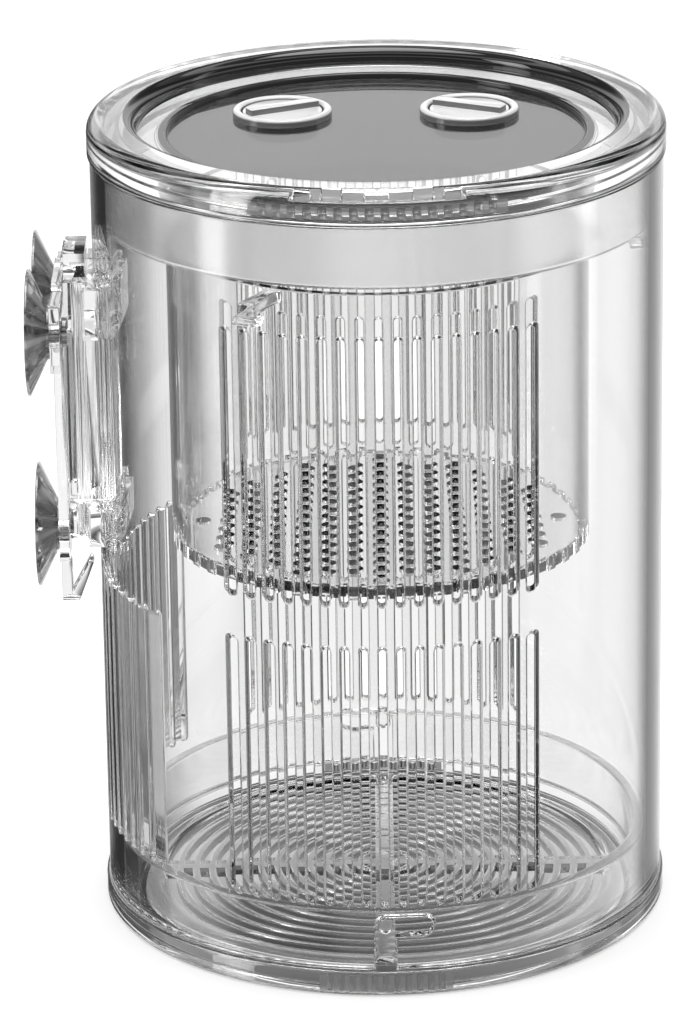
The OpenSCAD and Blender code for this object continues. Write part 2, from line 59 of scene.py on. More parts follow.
# Clear moulded acrylic, which most of the box is made of. Most pieces carry the faint ripple
# that moulding leaves in a surface and a patchy haze from handling, through one shared group,
# and all of them get painted shade, darker where they are seen edge on.
MM = 0.001
ACRYLIC_IOR = 1.49
SHADOW_TINT = (0.9, 0.9, 0.9, 1.0)
WALL_LEAN = 0.6
RIPPLE_SCALE = 30.0
RIPPLE_DETAIL = 1.0
HAZE_SCALE = 140.0
HAZE_DETAIL = 3.0
# Where the painted edge shade begins, on Layer Weight's facing scale.
PAINTED_EDGE_FROM = 0.78


def feed(tree, source, socket):
    """Links a socket to a source, or sets it where the source is a plain value."""
    if isinstance(source, bpy.types.NodeSocket):
        tree.links.new(source, socket)
    else:
        socket.default_value = source


def add_step(tree, kind, settings=None, **sources):
    """Adds a node, sets its options, and links or sets its inputs by their names."""
    node = tree.nodes.new(kind)
    for option, value in (settings or {}).items():
        setattr(node, option, value)
    for label, source in sources.items():
        wanted = label.replace("_", " ").lower()
        feed(tree, source, next(s for s in node.inputs if s.name.lower() == wanted and s.enabled))
    return node


def value_step(tree, operation, *sources):
    """A sum, product or other step on values, any of which may be a plain number."""
    node = add_step(tree, "ShaderNodeMath", {"operation": operation})
    for socket, source in zip(node.inputs, sources):
        feed(tree, source, socket)
    return node.outputs[0]


def mix_step(tree, share, first, second):
    """A mix of two shaders that is all of the second where the share is 1."""
    mix = tree.nodes.new("ShaderNodeMixShader")
    for socket, source in zip(mix.inputs, (share, first, second)):
        tree.links.new(source, socket)
    return mix.outputs[0]


def new_moulding_marks():
    """Shader group that gives a faint ripple as a height and a patchy gloss as a roughness."""
    marks = bpy.data.node_groups.new("moulding marks", "ShaderNodeTree")
    for name in ("Ripple Scale", "Haze Scale", "Smooth", "Hazy"):
        marks.interface.new_socket(name, in_out="INPUT", socket_type="NodeSocketFloat")
    for name in ("Height", "Roughness"):
        marks.interface.new_socket(name, in_out="OUTPUT", socket_type="NodeSocketFloat")
    given = marks.nodes.new("NodeGroupInput").outputs
    place = marks.nodes.new("ShaderNodeTexCoord").outputs["Object"]
    ripple = add_step(marks, "ShaderNodeTexNoise", Vector=place, Scale=given["Ripple Scale"],
                      Detail=RIPPLE_DETAIL)
    haze = add_step(marks, "ShaderNodeTexNoise", Vector=place, Scale=given["Haze Scale"],
                    Detail=HAZE_DETAIL)
    gloss = add_step(marks, "ShaderNodeMapRange", Value=haze.outputs["Fac"], To_Min=given["Smooth"],
                     To_Max=given["Hazy"])
    add_step(marks, "NodeGroupOutput", Height=ripple.outputs["Fac"], Roughness=gloss.outputs["Result"])
    return marks


MOULDING_MARKS = new_moulding_marks()


def grey(level):
    """A neutral colour."""
    return (level, level, level, 1.0)


def new_plastic(name, flat_on, painted_edge_shade, smooth, hazy, ripple_depth=0.02, see_through=1.0, painted_wall_shade=1.0):
    """Moulded plastic with a tint that falls to a painted edge shade where it is seen edge on, smooth
    to hazy in patches.

    A wall shade below 1 paints shade on the upright faces and darkens them.
    """
    material = bpy.data.materials.new(name)
    material.use_nodes = True
    tree = material.node_tree
    tree.nodes.clear()
    # Painted shade: the base colour is made darker where the surface is seen edge on.
    facing = tree.nodes.new("ShaderNodeLayerWeight").outputs["Facing"]
    tint_and_edge_shade = add_step(tree, "ShaderNodeValToRGB", Fac=facing)
    flat_stop, painted_edge_stop = tint_and_edge_shade.color_ramp.elements
    flat_stop.position = PAINTED_EDGE_FROM
    flat_stop.color = grey(flat_on)
    painted_edge_stop.color = grey(painted_edge_shade)
    colour = tint_and_edge_shade.outputs["Color"]
    # Painted shade: upright faces are darkened, the more so the more upright they are.
    if painted_wall_shade < 1.0:
        normal = tree.nodes.new("ShaderNodeNewGeometry").outputs["True Normal"]
        split = add_step(tree, "ShaderNodeSeparateXYZ", Vector=normal)
        flatness = value_step(tree, "ABSOLUTE", split.outputs["Z"])
        shade = add_step(tree, "ShaderNodeMapRange", Value=flatness, From_Max=WALL_LEAN, To_Min=painted_wall_shade)
        shaded = add_step(tree, "ShaderNodeVectorMath", {"operation": "SCALE"}, Vector=colour,
                          Scale=shade.outputs["Result"])
        colour = shaded.outputs["Vector"]
    marks = add_step(tree, "ShaderNodeGroup", {"node_tree": MOULDING_MARKS}, Ripple_Scale=RIPPLE_SCALE,
                     Haze_Scale=HAZE_SCALE, Smooth=smooth, Hazy=hazy)
    bump = add_step(tree, "ShaderNodeBump", Strength=ripple_depth, Distance=MM,
                    Height=marks.outputs["Height"])
    plastic = add_step(tree, "ShaderNodeBsdfPrincipled", Base_Color=colour, IOR=ACRYLIC_IOR,
                       Roughness=marks.outputs["Roughness"], Normal=bump.outputs["Normal"],
                       Transmission_Weight=see_through)
    shadow = tree.nodes.new("ShaderNodeLightPath").outputs["Is Shadow Ray"]
    passing = add_step(tree, "ShaderNodeBsdfTransparent", Color=SHADOW_TINT)
    surface = mix_step(tree, shadow, plastic.outputs["BSDF"], passing.outputs["BSDF"])
    add_step(tree, "ShaderNodeOutputMaterial", Surface=surface)
    return material


CLEAR_PLASTIC = new_plastic("clear plastic", flat_on=0.96, painted_edge_shade=0.3, smooth=0.0, hazy=0.02)


PLACE_DIGITS = 4


def new_piece(name, places, normals, faces, materials, face_materials=None):
    """Mesh piece from places in mm. Places that coincide are welded, and each keeps its own normal."""
    first_at = {}
    kept = []
    new_index = []
    for index, place in enumerate(places):
        key = tuple(round(c, PLACE_DIGITS) for c in place)
        if key not in first_at:
            first_at[key] = len(kept)
            kept.append(index)
        new_index.append(first_at[key])
    clean_faces = []
    clean_materials = []
    for number, face in enumerate(faces):
        corners = []
        for index in face:
            if new_index[index] not in corners:
                corners.append(new_index[index])
        if len(corners) > 2:
            clean_faces.append(corners)
            clean_materials.append(face_materials[number] if face_materials else 0)
    mesh = bpy.data.meshes.new(name)
    mesh.from_pydata([tuple(c * MM for c in places[i]) for i in kept], [], clean_faces)
    mesh.polygons.foreach_set("use_smooth", [True] * len(clean_faces))
    mesh.polygons.foreach_set("material_index", clean_materials)
    mesh.update()
    own = [v.normal.copy() for v in mesh.vertices]
    chosen = [normals[i] if normals[i] is not None else own[n] for n, i in enumerate(kept)]
    mesh.normals_split_custom_set_from_vertices([tuple(n) for n in chosen])
    for material in materials:
        mesh.materials.append(material)
    piece = bpy.data.objects.new(name, mesh)
    bpy.context.scene.collection.objects.link(piece)
    return piece


# Tube: a clear extruded acrylic pipe. Rows of slots for the water are sawn through it from the
# front to the back and under the bracket, two L-shaped slots at its lower edge take the foot's
# pins, and two windows hold the bracket's loops. Every edge is flame polished, so it is round.
TUBE_R = 55.0
TUBE_IN_R = 52.2
TUBE_LOW = 5.2
TUBE_TOP = 152.8
TUBE_LIP = 0.35
SLOT_W = 1.4
SLOT_PITCH = 3.5
SLOT_COUNT = 17
SIDE_SLOT_COUNT = 19
LOWER_SLOTS = (18.4, 70.6)
UPPER_SLOTS = (79.3, 131.5)
PIN_Z = 14.0
PIN_SLOT_R = 1.95
LOCK_REACH = 7.18
LOCK_BEFORE = 3.5
LOCK_AFTER = 11.5
WINDOW_W = 12.0
WINDOWS = ((78.4, 82.8), (120.4, 127.6))
# Turns round the axis, in degrees. The wall's mesh starts and ends at its seam.
FRONT = 360
BACK = 180
BRACKET_SIDE = 270
SEAM = 90
LIP_STEPS = 3
SLOT_END_STEPS = 8
SHEET_COLUMNS = 200
SHEET_ROW = 7.0
SHEET_SQUASH = 0.25
SHEET_CLEARANCE = 0.8
SAME_PLACE = 0.001
SAME_SPOT = 0.00001


def wall_angle(spot, radius):
    """Angle round the axis of a spot given as (turn in degrees, mm across, mm up)."""
    turn, across, up = spot
    return math.radians(turn - 90) + math.asin(across / radius)


def on_wall(spot, radius):
    """Place of a spot on a round wall."""
    angle = wall_angle(spot, radius)
    return Vector((radius * math.cos(angle), radius * math.sin(angle), spot[2]))


def arc(turn, across, up, radius, from_degrees, to_degrees, steps):
    """Spots along a quarter or half round about a centre, in the wall's own plane."""
    spots = []
    for step in range(steps + 1):
        angle = math.radians(from_degrees + (to_degrees - from_degrees) * step / steps)
        spots.append((turn, across + radius * math.cos(angle), up + radius * math.sin(angle)))
    return spots


def slot_opening(turn, across, low, top):
    """A slot with round ends, as a function from how much wider it is to its outline."""
    def outline(grow):
        radius = SLOT_W / 2 + grow
        upper = arc(turn, across, top - SLOT_W / 2, radius, 0, 180, SLOT_END_STEPS)
        lower = arc(turn, across, low + SLOT_W / 2, radius, 180, 360, SLOT_END_STEPS)
        return upper + lower
    return outline


def window_opening(turn, width, low, top):
    """A rectangular window."""
    def outline(grow):
        half = width / 2 + grow
        return [(turn, half, low - grow), (turn, half, top + grow),
                (turn, -half, top + grow), (turn, -half, low - grow)]
    return outline


def lock_notch(turn):
    """The L-shaped slot for a pin, open at the tube's lower edge, run from right to left."""
    def outline(grow):
        half = PIN_SLOT_R + grow
        return ([(turn, half, TUBE_LOW + grow), (turn, half, PIN_Z - half)]
                + arc(turn, LOCK_REACH, PIN_Z, half, -90, 90, SLOT_END_STEPS)
                + arc(turn, 0, PIN_Z, half, 90, 180, SLOT_END_STEPS)
                + [(turn, -half, TUBE_LOW + grow)])
    return outline


def slot_rows(count, rows, turns):
    """The openings of several rows of slots."""
    openings = []
    for turn in turns:
        for low, top in rows:
            for number in range(count):
                across = (number - (count - 1) / 2) * SLOT_PITCH
                openings.append(slot_opening(turn, across, low, top))
    return openings


def edge_round(up, direction, notches=(), step_degrees=1.5):
    """The wall's top edge (direction 1) or lower edge (direction -1), with its notches."""
    def outline(grow):
        spots = []
        turn = SEAM
        blocked = [(n[0] - n[1], n[0] + n[2], n[3]) for n in notches]
        stops = []
        while turn < SEAM + 360 - SAME_PLACE:
            if not any(low <= turn <= high for low, high, notch in blocked):
                stops.append((turn, [(turn, 0.0, up - direction * grow)]))
            turn += step_degrees
        stops.append((SEAM + 360, [(SEAM + 360, 0.0, up - direction * grow)]))
        for low, high, notch in blocked:
            stops.append(((low + high) / 2, notch(grow)[::-1]))
        for turn, part in sorted(stops, key=lambda stop: stop[0]):
            spots += part
        return spots if direction > 0 else spots[::-1]
    return outline


def unrolled(spots, radius):
    """Spots on a round wall laid out flat, as (mm along, mm up)."""
    return [(radius * wall_angle(spot, radius), spot[2]) for spot in spots]


def lip_rings(outline, radius, outwards, lip, places, normals):
    """Adds the rings of places that round an opening's edge over from the wall's face inwards."""
    wide = [on_wall(spot, radius) for spot in outline(lip)]
    tight = [on_wall(spot, radius) for spot in outline(0)]
    rings = []
    for step in range(LIP_STEPS + 1):
        bend = math.pi / 2 * step / LIP_STEPS
        ring_r = radius - outwards * lip * (1 - math.cos(bend))
        ring = []
        for count, spot in enumerate(outline(lip * (1 - math.sin(bend)))):
            place = on_wall(spot, ring_r)
            out = Vector((place.x, place.y, 0)).normalized() * outwards
            into = (tight[count] - wide[count]).normalized()
            ring.append(len(places))
            places.append(place)
            normals.append(out * math.cos(bend) + into * math.sin(bend))
        rings.append(ring)
    return rings


def slotted_wall(name, radii, heights, lip, openings, notches, material):
    """A round wall with openings through it and notches in its lower edge, all with round lips.

    Each face of the wall is meshed flat, as a sheet with holes, and then rolled up.
    """
    places = []
    normals = []
    faces = []
    outlines = [(opening, True) for opening in openings]
    outlines.append((edge_round(heights[1], 1), False))
    outlines.append((edge_round(heights[0], -1, notches), False))
    chains = [[] for outline in outlines]
    for radius, outwards in zip(radii, (1, -1)):
        sheet_spots = []
        sheet_edges = []
        sheet_holes = []
        mesh_index = []
        no_go = []
        for number, (outline, closed) in enumerate(outlines):
            rings = lip_rings(outline, radius, outwards, lip, places, normals)
            chains[number] += rings if outwards > 0 else rings[::-1]
            spots = outline(lip)
            pairs = list(range(len(sheet_spots), len(sheet_spots) + len(spots)))
            sheet_spots += unrolled(spots, radius)
            mesh_index += rings[0]
            sheet_edges += list(zip(pairs, pairs[1:]))
            for notch in notches:
                inside = [p for p, s in zip(pairs, spots) if s[0] == notch[0]]
                if not closed and len(inside) > 1:
                    sheet_holes.append(inside)
            if closed:
                sheet_edges.append((pairs[-1], pairs[0]))
                sheet_holes.append(pairs)
                low_s = min(sheet_spots[i][0] for i in pairs) - SHEET_CLEARANCE
                high_s = max(sheet_spots[i][0] for i in pairs) + SHEET_CLEARANCE
                low_z = min(sheet_spots[i][1] for i in pairs) - SHEET_CLEARANCE
                high_z = max(sheet_spots[i][1] for i in pairs) + SHEET_CLEARANCE
                no_go.append((low_s, high_s, low_z, high_z))
        for turn, before, after, notch in notches:
            spots = unrolled(notch(lip + SHEET_CLEARANCE), radius)
            no_go.append((min(s[0] for s in spots), max(s[0] for s in spots), 0,
                          max(s[1] for s in spots)))
        rows = int((heights[1] - heights[0] - 2 * lip) / SHEET_ROW)
        row_h = (heights[1] - heights[0] - 2 * lip) / rows
        seams = {0: [], SHEET_COLUMNS: []}
        for column in range(SHEET_COLUMNS + 1):
            along = radius * 2 * math.pi * column / SHEET_COLUMNS
            for row in range(1, rows):
                up = heights[0] + lip + row * row_h
                if any(a < along < b and c < up < d for a, b, c, d in no_go):
                    continue
                angle = along / radius
                if column in seams:
                    seams[column].append(len(sheet_spots))
                sheet_spots.append((along, up))
                mesh_index.append(len(places))
                places.append(Vector((radius * math.cos(angle), radius * math.sin(angle), up)))
                normals.append(Vector((math.cos(angle), math.sin(angle), 0)) * outwards)
        for column, inner in seams.items():
            along = radius * 2 * math.pi * column / SHEET_COLUMNS
            ends = [i for i, s in enumerate(sheet_spots)
                    if abs(s[0] - along) < SAME_PLACE and i not in inner]
            line = sorted(ends + inner, key=lambda i: sheet_spots[i][1])
            sheet_edges += list(zip(line, line[1:]))
        flat = [Vector((s, z * SHEET_SQUASH)) for s, z in sheet_spots]
        _, _, triangles, origins, _, holes_at = delaunay_2d_cdt(flat, sheet_edges, sheet_holes, 0,
                                                                SAME_SPOT, True)
        for triangle, holes in zip(triangles, holes_at):
            if holes:
                continue
            corners = [mesh_index[origins[i][0]] for i in triangle]
            faces.append(corners if outwards > 0 else corners[::-1])
    for chain, (outline, closed) in zip(chains, outlines):
        for ring, next_ring in zip(chain, chain[1:]):
            count = len(ring)
            for i in range(count if closed else count - 1):
                j = (i + 1) % count
                faces.append([ring[i], ring[j], next_ring[j], next_ring[i]])
    return new_piece(name, places, normals, faces, [material])


tube_openings = slot_rows(SLOT_COUNT, (LOWER_SLOTS, UPPER_SLOTS), (FRONT, BACK))
tube_openings += slot_rows(SIDE_SLOT_COUNT, (LOWER_SLOTS,), (BRACKET_SIDE,))
tube_openings += [window_opening(BRACKET_SIDE, WINDOW_W, low, top) for low, top in WINDOWS]
lock_notches = [(turn, LOCK_BEFORE, LOCK_AFTER, lock_notch(turn)) for turn in (BACK, FRONT)]
tube = slotted_wall("tube_wall", (TUBE_R, TUBE_IN_R), (TUBE_LOW, TUBE_TOP), TUBE_LIP,
                    tube_openings, lock_notches, CLEAR_PLASTIC)
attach(tube, "tube_body")
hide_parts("tube")


# Basket: a second clear pipe that hangs inside the tube, sawn with the same slots. Small notches
# along its lower edge take the teeth of its floor.
BASKET_R = 40.8
BASKET_IN_R = 39.0
BASKET_LOW = 75.6
BASKET_TOP = 136.2
BASKET_LIP = 0.25
TOOTH_COUNT = 48
TOOTH_W = 2.3
FLOOR_GAP = 0.3
FLOOR_T = 2.0
NOTCH_MARGIN = 0.1
BASKET_PLASTIC = new_plastic("basket plastic", flat_on=0.94, painted_edge_shade=0.28, smooth=0.0, hazy=0.03)


def tooth_notch(turn):
    """Notch in the basket's lower edge for one tooth of the floor, run from right to left."""
    def outline(grow):
        half = TOOTH_W / 2 + FLOOR_GAP + grow
        low = BASKET_LOW + grow
        high = BASKET_LOW + 2 * FLOOR_GAP + FLOOR_T + grow
        return [(turn, half, low), (turn, half, high), (turn, -half, high), (turn, -half, low)]
    return outline


tooth_step = 360 / TOOTH_COUNT
tooth_turns = [SEAM + tooth_step * (number + 0.5) for number in range(TOOTH_COUNT)]
notch_reach = math.degrees((TOOTH_W / 2 + FLOOR_GAP + BASKET_LIP) / BASKET_IN_R) + NOTCH_MARGIN
basket_notches = [(turn, notch_reach, notch_reach, tooth_notch(turn)) for turn in tooth_turns]
basket_wall = slotted_wall("basket_wall_shell", (BASKET_R, BASKET_IN_R), (BASKET_LOW, BASKET_TOP),
                           BASKET_LIP, slot_rows(SLOT_COUNT, (UPPER_SLOTS,), (FRONT, BACK)),
                           basket_notches, BASKET_PLASTIC)
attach(basket_wall, "basket")
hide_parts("basket_wall")


# Basket floor: a clear plate drilled with a square grid of holes, with teeth round its edge that
# sit in the notches of the basket's wall.
FLOOR_SIZES = {
    "Plate Radius": 38.7 * MM,
    "Plate Thickness": FLOOR_T * MM,
    "Plate Underside": (BASKET_LOW + FLOOR_GAP) * MM,
    "Hole Pitch": 5.0 * MM,
    "Hole Diameter": 3.2 * MM,
    "Holes A Side": 15,
    "Holes Within": 35.11 * MM,
    "Teeth": TOOTH_COUNT,
    "Tooth Width": TOOTH_W * MM,
    "Tooth End": (BASKET_R - FLOOR_GAP) * MM,
}
PLATE_CORNERS = 192
DRILL_CORNERS = 20
SMOOTH_UNDER = math.radians(35)
# Its edges and the sides of its holes are painted dark as shade.
FLOOR_PLASTIC = new_plastic("drilled plastic", flat_on=0.94, painted_edge_shade=0.1, smooth=0.0, hazy=0.02,
                            painted_wall_shade=0.12)


def new_recipe(name, sizes):
    """Geometry recipe with one named input for each size."""
    recipe = bpy.data.node_groups.new(name, "GeometryNodeTree")
    recipe.interface.new_socket("Piece", in_out="OUTPUT", socket_type="NodeSocketGeometry")
    for label, size in sizes.items():
        kind = "NodeSocketInt" if isinstance(size, int) else "NodeSocketFloat"
        recipe.interface.new_socket(label, in_out="INPUT", socket_type=kind)
    return recipe


def fitted(name, mesh, body, node):
    """Piece with smooth faces and crisp edges that rides on a body in place of a CAD node."""
    mesh.name = name
    mesh.polygons.foreach_set("use_smooth", [True] * len(mesh.polygons))
    mesh.set_sharp_from_angle(angle=SMOOTH_UNDER)
    piece = bpy.data.objects.new(name, mesh)
    bpy.context.scene.collection.objects.link(piece)
    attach(piece, body)
    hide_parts(node)


def made_by(recipe, name, sizes, body, node):
    """Runs a recipe with these sizes, and keeps the result as a plain mesh that rides on a body."""
    holder = bpy.data.objects.new(name + " recipe", bpy.data.meshes.new(name + " start"))
    bpy.context.scene.collection.objects.link(holder)
    modifier = holder.modifiers.new("recipe", "NODES")
    modifier.node_group = recipe
    for item in recipe.interface.items_tree:
        if item.in_out == "INPUT":
            modifier[item.identifier] = sizes[item.name]
    scene_graph = bpy.context.evaluated_depsgraph_get()
    mesh = bpy.data.meshes.new_from_object(holder.evaluated_get(scene_graph))
    holder.modifiers.remove(modifier)
    bpy.data.objects.remove(holder)
    fitted(name, mesh, body, node)


def solid_step(recipe, operation, shapes, cut_from=None):
    """Joins solid shapes, or cuts them from another one."""
    step = add_step(recipe, "GeometryNodeMeshBoolean", {"operation": operation, "solver": "MANIFOLD"})
    if cut_from:
        recipe.links.new(cut_from, step.inputs[0])
    for shape in shapes:
        recipe.links.new(shape, step.inputs[1])
    return step.outputs[0]


def raised(recipe, shape, height):
    """A shape moved up by a height."""
    lift = add_step(recipe, "ShaderNodeCombineXYZ", Z=height)
    moved = add_step(recipe, "GeometryNodeTransform", Geometry=shape, Translation=lift.outputs[0])
    return moved.outputs[0]


def finish_recipe(recipe, shape, material):
    """Ends a recipe: what repeats becomes real mesh and gets its material."""
    real = add_step(recipe, "GeometryNodeRealizeInstances", Geometry=shape)
    dressed = add_step(recipe, "GeometryNodeSetMaterial", Geometry=real.outputs[0], Material=material)
    result = recipe.nodes.new("NodeGroupOutput")
    recipe.links.new(dressed.outputs[0], result.inputs[0])


def new_floor_recipe():
    """Plate minus a grid of holes, plus teeth round its edge."""
    recipe = new_recipe("drilled plate", FLOOR_SIZES)
    size = recipe.nodes.new("NodeGroupInput").outputs
    plate = add_step(recipe, "GeometryNodeMeshCylinder", Vertices=PLATE_CORNERS,
                     Radius=size["Plate Radius"], Depth=size["Plate Thickness"])
    gaps = value_step(recipe, "SUBTRACT", size["Holes A Side"], 1)
    side = value_step(recipe, "MULTIPLY", gaps, size["Hole Pitch"])
    grid = add_step(recipe, "GeometryNodeMeshGrid", Size_X=side, Size_Y=side,
                    Vertices_X=size["Holes A Side"], Vertices_Y=size["Holes A Side"])
    where = recipe.nodes.new("GeometryNodeInputPosition").outputs[0]
    reach = add_step(recipe, "ShaderNodeVectorMath", {"operation": "LENGTH"}, Vector=where)
    inside = value_step(recipe, "LESS_THAN", reach.outputs["Value"], size["Holes Within"])
    hole_r = value_step(recipe, "MULTIPLY", size["Hole Diameter"], 0.5)
    deep = value_step(recipe, "MULTIPLY", size["Plate Thickness"], 2)
    drill = add_step(recipe, "GeometryNodeMeshCylinder", Vertices=DRILL_CORNERS, Radius=hole_r,
                     Depth=deep)
    drills = add_step(recipe, "GeometryNodeInstanceOnPoints", Points=grid.outputs["Mesh"],
                      Selection=inside, Instance=drill.outputs["Mesh"])
    real_drills = add_step(recipe, "GeometryNodeRealizeInstances", Geometry=drills.outputs[0])
    drilled = solid_step(recipe, "DIFFERENCE", [real_drills.outputs[0]], plate.outputs["Mesh"])
    rim = add_step(recipe, "GeometryNodeMeshCircle", Vertices=size["Teeth"],
                   Radius=size["Plate Radius"])
    half_step = value_step(recipe, "DIVIDE", math.pi, size["Teeth"])
    turn = add_step(recipe, "ShaderNodeCombineXYZ", Z=half_step)
    turned_rim = add_step(recipe, "GeometryNodeTransform", Geometry=rim.outputs[0],
                          Rotation=turn.outputs[0])
    outwards = add_step(recipe, "FunctionNodeAlignRotationToVector", {"axis": "X"}, Vector=where)
    spare = value_step(recipe, "SUBTRACT", size["Tooth End"], size["Plate Radius"])
    length = value_step(recipe, "MULTIPLY", spare, 2)
    block = add_step(recipe, "ShaderNodeCombineXYZ", X=length, Y=size["Tooth Width"],
                     Z=size["Plate Thickness"])
    tooth = add_step(recipe, "GeometryNodeMeshCube", Size=block.outputs[0])
    teeth = add_step(recipe, "GeometryNodeInstanceOnPoints", Points=turned_rim.outputs[0],
                     Instance=tooth.outputs["Mesh"], Rotation=outwards.outputs[0])
    real_teeth = add_step(recipe, "GeometryNodeRealizeInstances", Geometry=teeth.outputs[0])
    joined = solid_step(recipe, "UNION", [drilled, real_teeth.outputs[0]])
    middle = value_step(recipe, "MULTIPLY_ADD", size["Plate Thickness"], 0.5, size["Plate Underside"])
    finish_recipe(recipe, raised(recipe, joined, middle), FLOOR_PLASTIC)
    return recipe


made_by(new_floor_recipe(), "basket_floor_plate", FLOOR_SIZES, "basket", "basket_floor")


# Lugs and ledges: three small lugs bonded to the basket's rim rest on three ledges bonded inside
# the tube. Their moulded edges are softened.
LUG_EDGE = 0.3
FLAT_WITHIN = math.radians(1)
SHARP_OVER = math.radians(40)
LUG_PLASTIC = new_plastic("lug plastic", flat_on=1.0, painted_edge_shade=0.8, smooth=0.0, hazy=0.02)


def softened(node, name, body, material, edge, steps=2):
    """A CAD node's own shape with its sharp moulded edges rounded over, in mm."""
    mesh = frame["nodes"][node].data.copy()
    mesh.materials.clear()
    mesh.materials.append(material)
    work = bmesh.new()
    work.from_mesh(mesh)
    bmesh.ops.remove_doubles(work, verts=work.verts, dist=SAME_PLACE * MM)
    bmesh.ops.dissolve_limit(work, angle_limit=FLAT_WITHIN, verts=work.verts, edges=work.edges)
    work.to_mesh(mesh)
    work.free()
    holder = bpy.data.objects.new(name + " sharp", mesh)
    bpy.context.scene.collection.objects.link(holder)
    rounding = holder.modifiers.new("rounding", "BEVEL")
    rounding.width = edge * MM
    rounding.segments = steps
    rounding.limit_method = "ANGLE"
    rounding.angle_limit = SHARP_OVER
    scene_graph = bpy.context.evaluated_depsgraph_get()
    soft_mesh = bpy.data.meshes.new_from_object(holder.evaluated_get(scene_graph))
    bpy.data.objects.remove(holder)
    fitted(name, soft_mesh, body, node)


softened("basket_lugs", "basket_lugs_soft", "basket", LUG_PLASTIC, LUG_EDGE)
softened("basket_ledges", "basket_ledges_soft", "tube_body", LUG_PLASTIC, LUG_EDGE)


# Lid rim: a thick clear moulding with a rounded outer edge, a step inside it and a skirt that
# reaches into the tube. Grooves and a notch at the front are for the fingers, and the grooves are
# painted darker as shade. The skirt is left satin, the rest is polished, and the step's upright
# faces are painted black as shade.
LID_R = 55.5
LID_LOW = 153.0
LID_TOP = 160.0
LID_ROUND = 2.6
LID_LOW_ROUND = 0.45
RIM_IN_R = 46.2
RIM_IN_ROUND = 2.2
STEP_Z = 156.6
STEP_IN_R = 40.0
PANEL_TOP = 155.4
REBATE_R = 42.1
SKIRT_R = 51.9
SKIRT_IN_R = 49.9
SKIRT_LOW = 140.6
SKIRT_EDGE = 0.6
SKIRT_OUT_CORNER = 0.25
SKIRT_IN_CORNER = 0.8
STEP_EDGE = 0.5
REBATE_EDGE = 0.2
REBATE_CORNER = 0.4
NOTCH_HALF = 16.3
NOTCH_WALL = 52.5
NOTCH_FLOOR = 157.8
LID_GRIPS = 16
LID_GRIP_PITCH = 2.9
LID_GRIP_R = 0.8
GRIP_LOW = 154.6
GRIP_TOP = 157.0
GRIP_FADE = 0.15
NOTCH_STOPS = (0.0, 0.05, 1.0)
FINISH_MARGIN = 0.1
FINE_STEP = 0.16
COARSE_STEP = 1.5
LID_FINE_HALF = 26.0
FINE_MARGIN = 1.0
ROUND_STEPS = 4


def rounded_profile(corners, steps=ROUND_STEPS):
    """Rounds a closed outline of (r, z, rounding) and gives (r, z, normal r, normal z) all along it."""
    points = []
    for number, (r, z, rounding) in enumerate(corners):
        before = corners[number - 1]
        after = corners[(number + 1) % len(corners)]
        inwards = Vector((r - before[0], z - before[1])).normalized()
        onwards = Vector((after[0] - r, after[1] - z)).normalized()
        first = Vector((inwards.y, -inwards.x))
        last = Vector((onwards.y, -onwards.x))
        if r == 0:
            normal = last if before[0] == 0 else first
            points.append((r, z, normal.x, normal.y))
            continue
        bend = math.atan2(inwards.x * onwards.y - inwards.y * onwards.x, inwards.dot(onwards))
        convex = 1 if bend > 0 else -1
        start = Vector((r, z)) - inwards * rounding * math.tan(abs(bend) / 2)
        centre = start - first * rounding * convex
        for step in range(steps + 1):
            angle = bend * step / steps
            normal = Vector((first.x * math.cos(angle) - first.y * math.sin(angle),
                             first.x * math.sin(angle) + first.y * math.cos(angle)))
            place = centre + normal * rounding * convex
            points.append((place.x, place.y, normal.x, normal.y))
    return points


def with_stops(points, levels, column):
    """Adds points to an outline's straight runs where it crosses these levels of r or z."""
    result = []
    for number, point in enumerate(points):
        result.append(point)
        after = points[(number + 1) % len(points)]
        span = after[column] - point[column]
        crossed = [level for level in levels if min(point[column], after[column]) < level
                   < max(point[column], after[column])]
        for level in sorted(crossed, reverse=span < 0):
            share = (level - point[column]) / span
            result.append(tuple(a + (b - a) * share for a, b in zip(point, after)))
    return result


def turned(name, points, angles, materials, reshape=None, finish=None, place=None):
    """Turns an outline round the axis.

    reshape may move a point, finish picks a face's material and place may move the whole.
    """
    places = []
    normals = []
    faces = []
    face_materials = []
    for angle in angles:
        for r, z, normal_r, normal_z in points:
            new_r, new_z = reshape(r, z, angle) if reshape else (r, z)
            places.append(Vector((new_r * math.cos(angle), new_r * math.sin(angle), new_z)))
            if abs(new_r - r) + abs(new_z - z) > 0:
                normals.append(None)
            else:
                normals.append(Vector((normal_r * math.cos(angle), normal_r * math.sin(angle),
                                       normal_z)))
    count = len(points)
    rounds = len(angles)
    for turn, angle in enumerate(angles):
        after = (turn + 1) % rounds
        for i in range(count):
            j = (i + 1) % count
            faces.append([turn * count + i, after * count + i, after * count + j, turn * count + j])
            middle_r = (points[i][0] + points[j][0]) / 2
            middle_z = (points[i][1] + points[j][1]) / 2
            face_materials.append(finish(middle_r, middle_z, angle) if finish else 0)
    if place:
        places = [place @ p for p in places]
        turn_only = place.to_3x3()
        normals = [n if n is None else turn_only @ n for n in normals]
    return new_piece(name, places, normals, faces, materials, face_materials)


def turn_angles(fine_centres, fine_half, fine_step=FINE_STEP, coarse_step=COARSE_STEP):
    """Angles round the axis in radians, close together near the given centres in degrees."""
    angles = []
    angle = 0.0
    while angle < 360 - fine_step / 2:
        angles.append(math.radians(angle))
        close = any(abs((angle - centre + 180) % 360 - 180) < fine_half for centre in fine_centres)
        angle += fine_step if close else coarse_step
    return angles


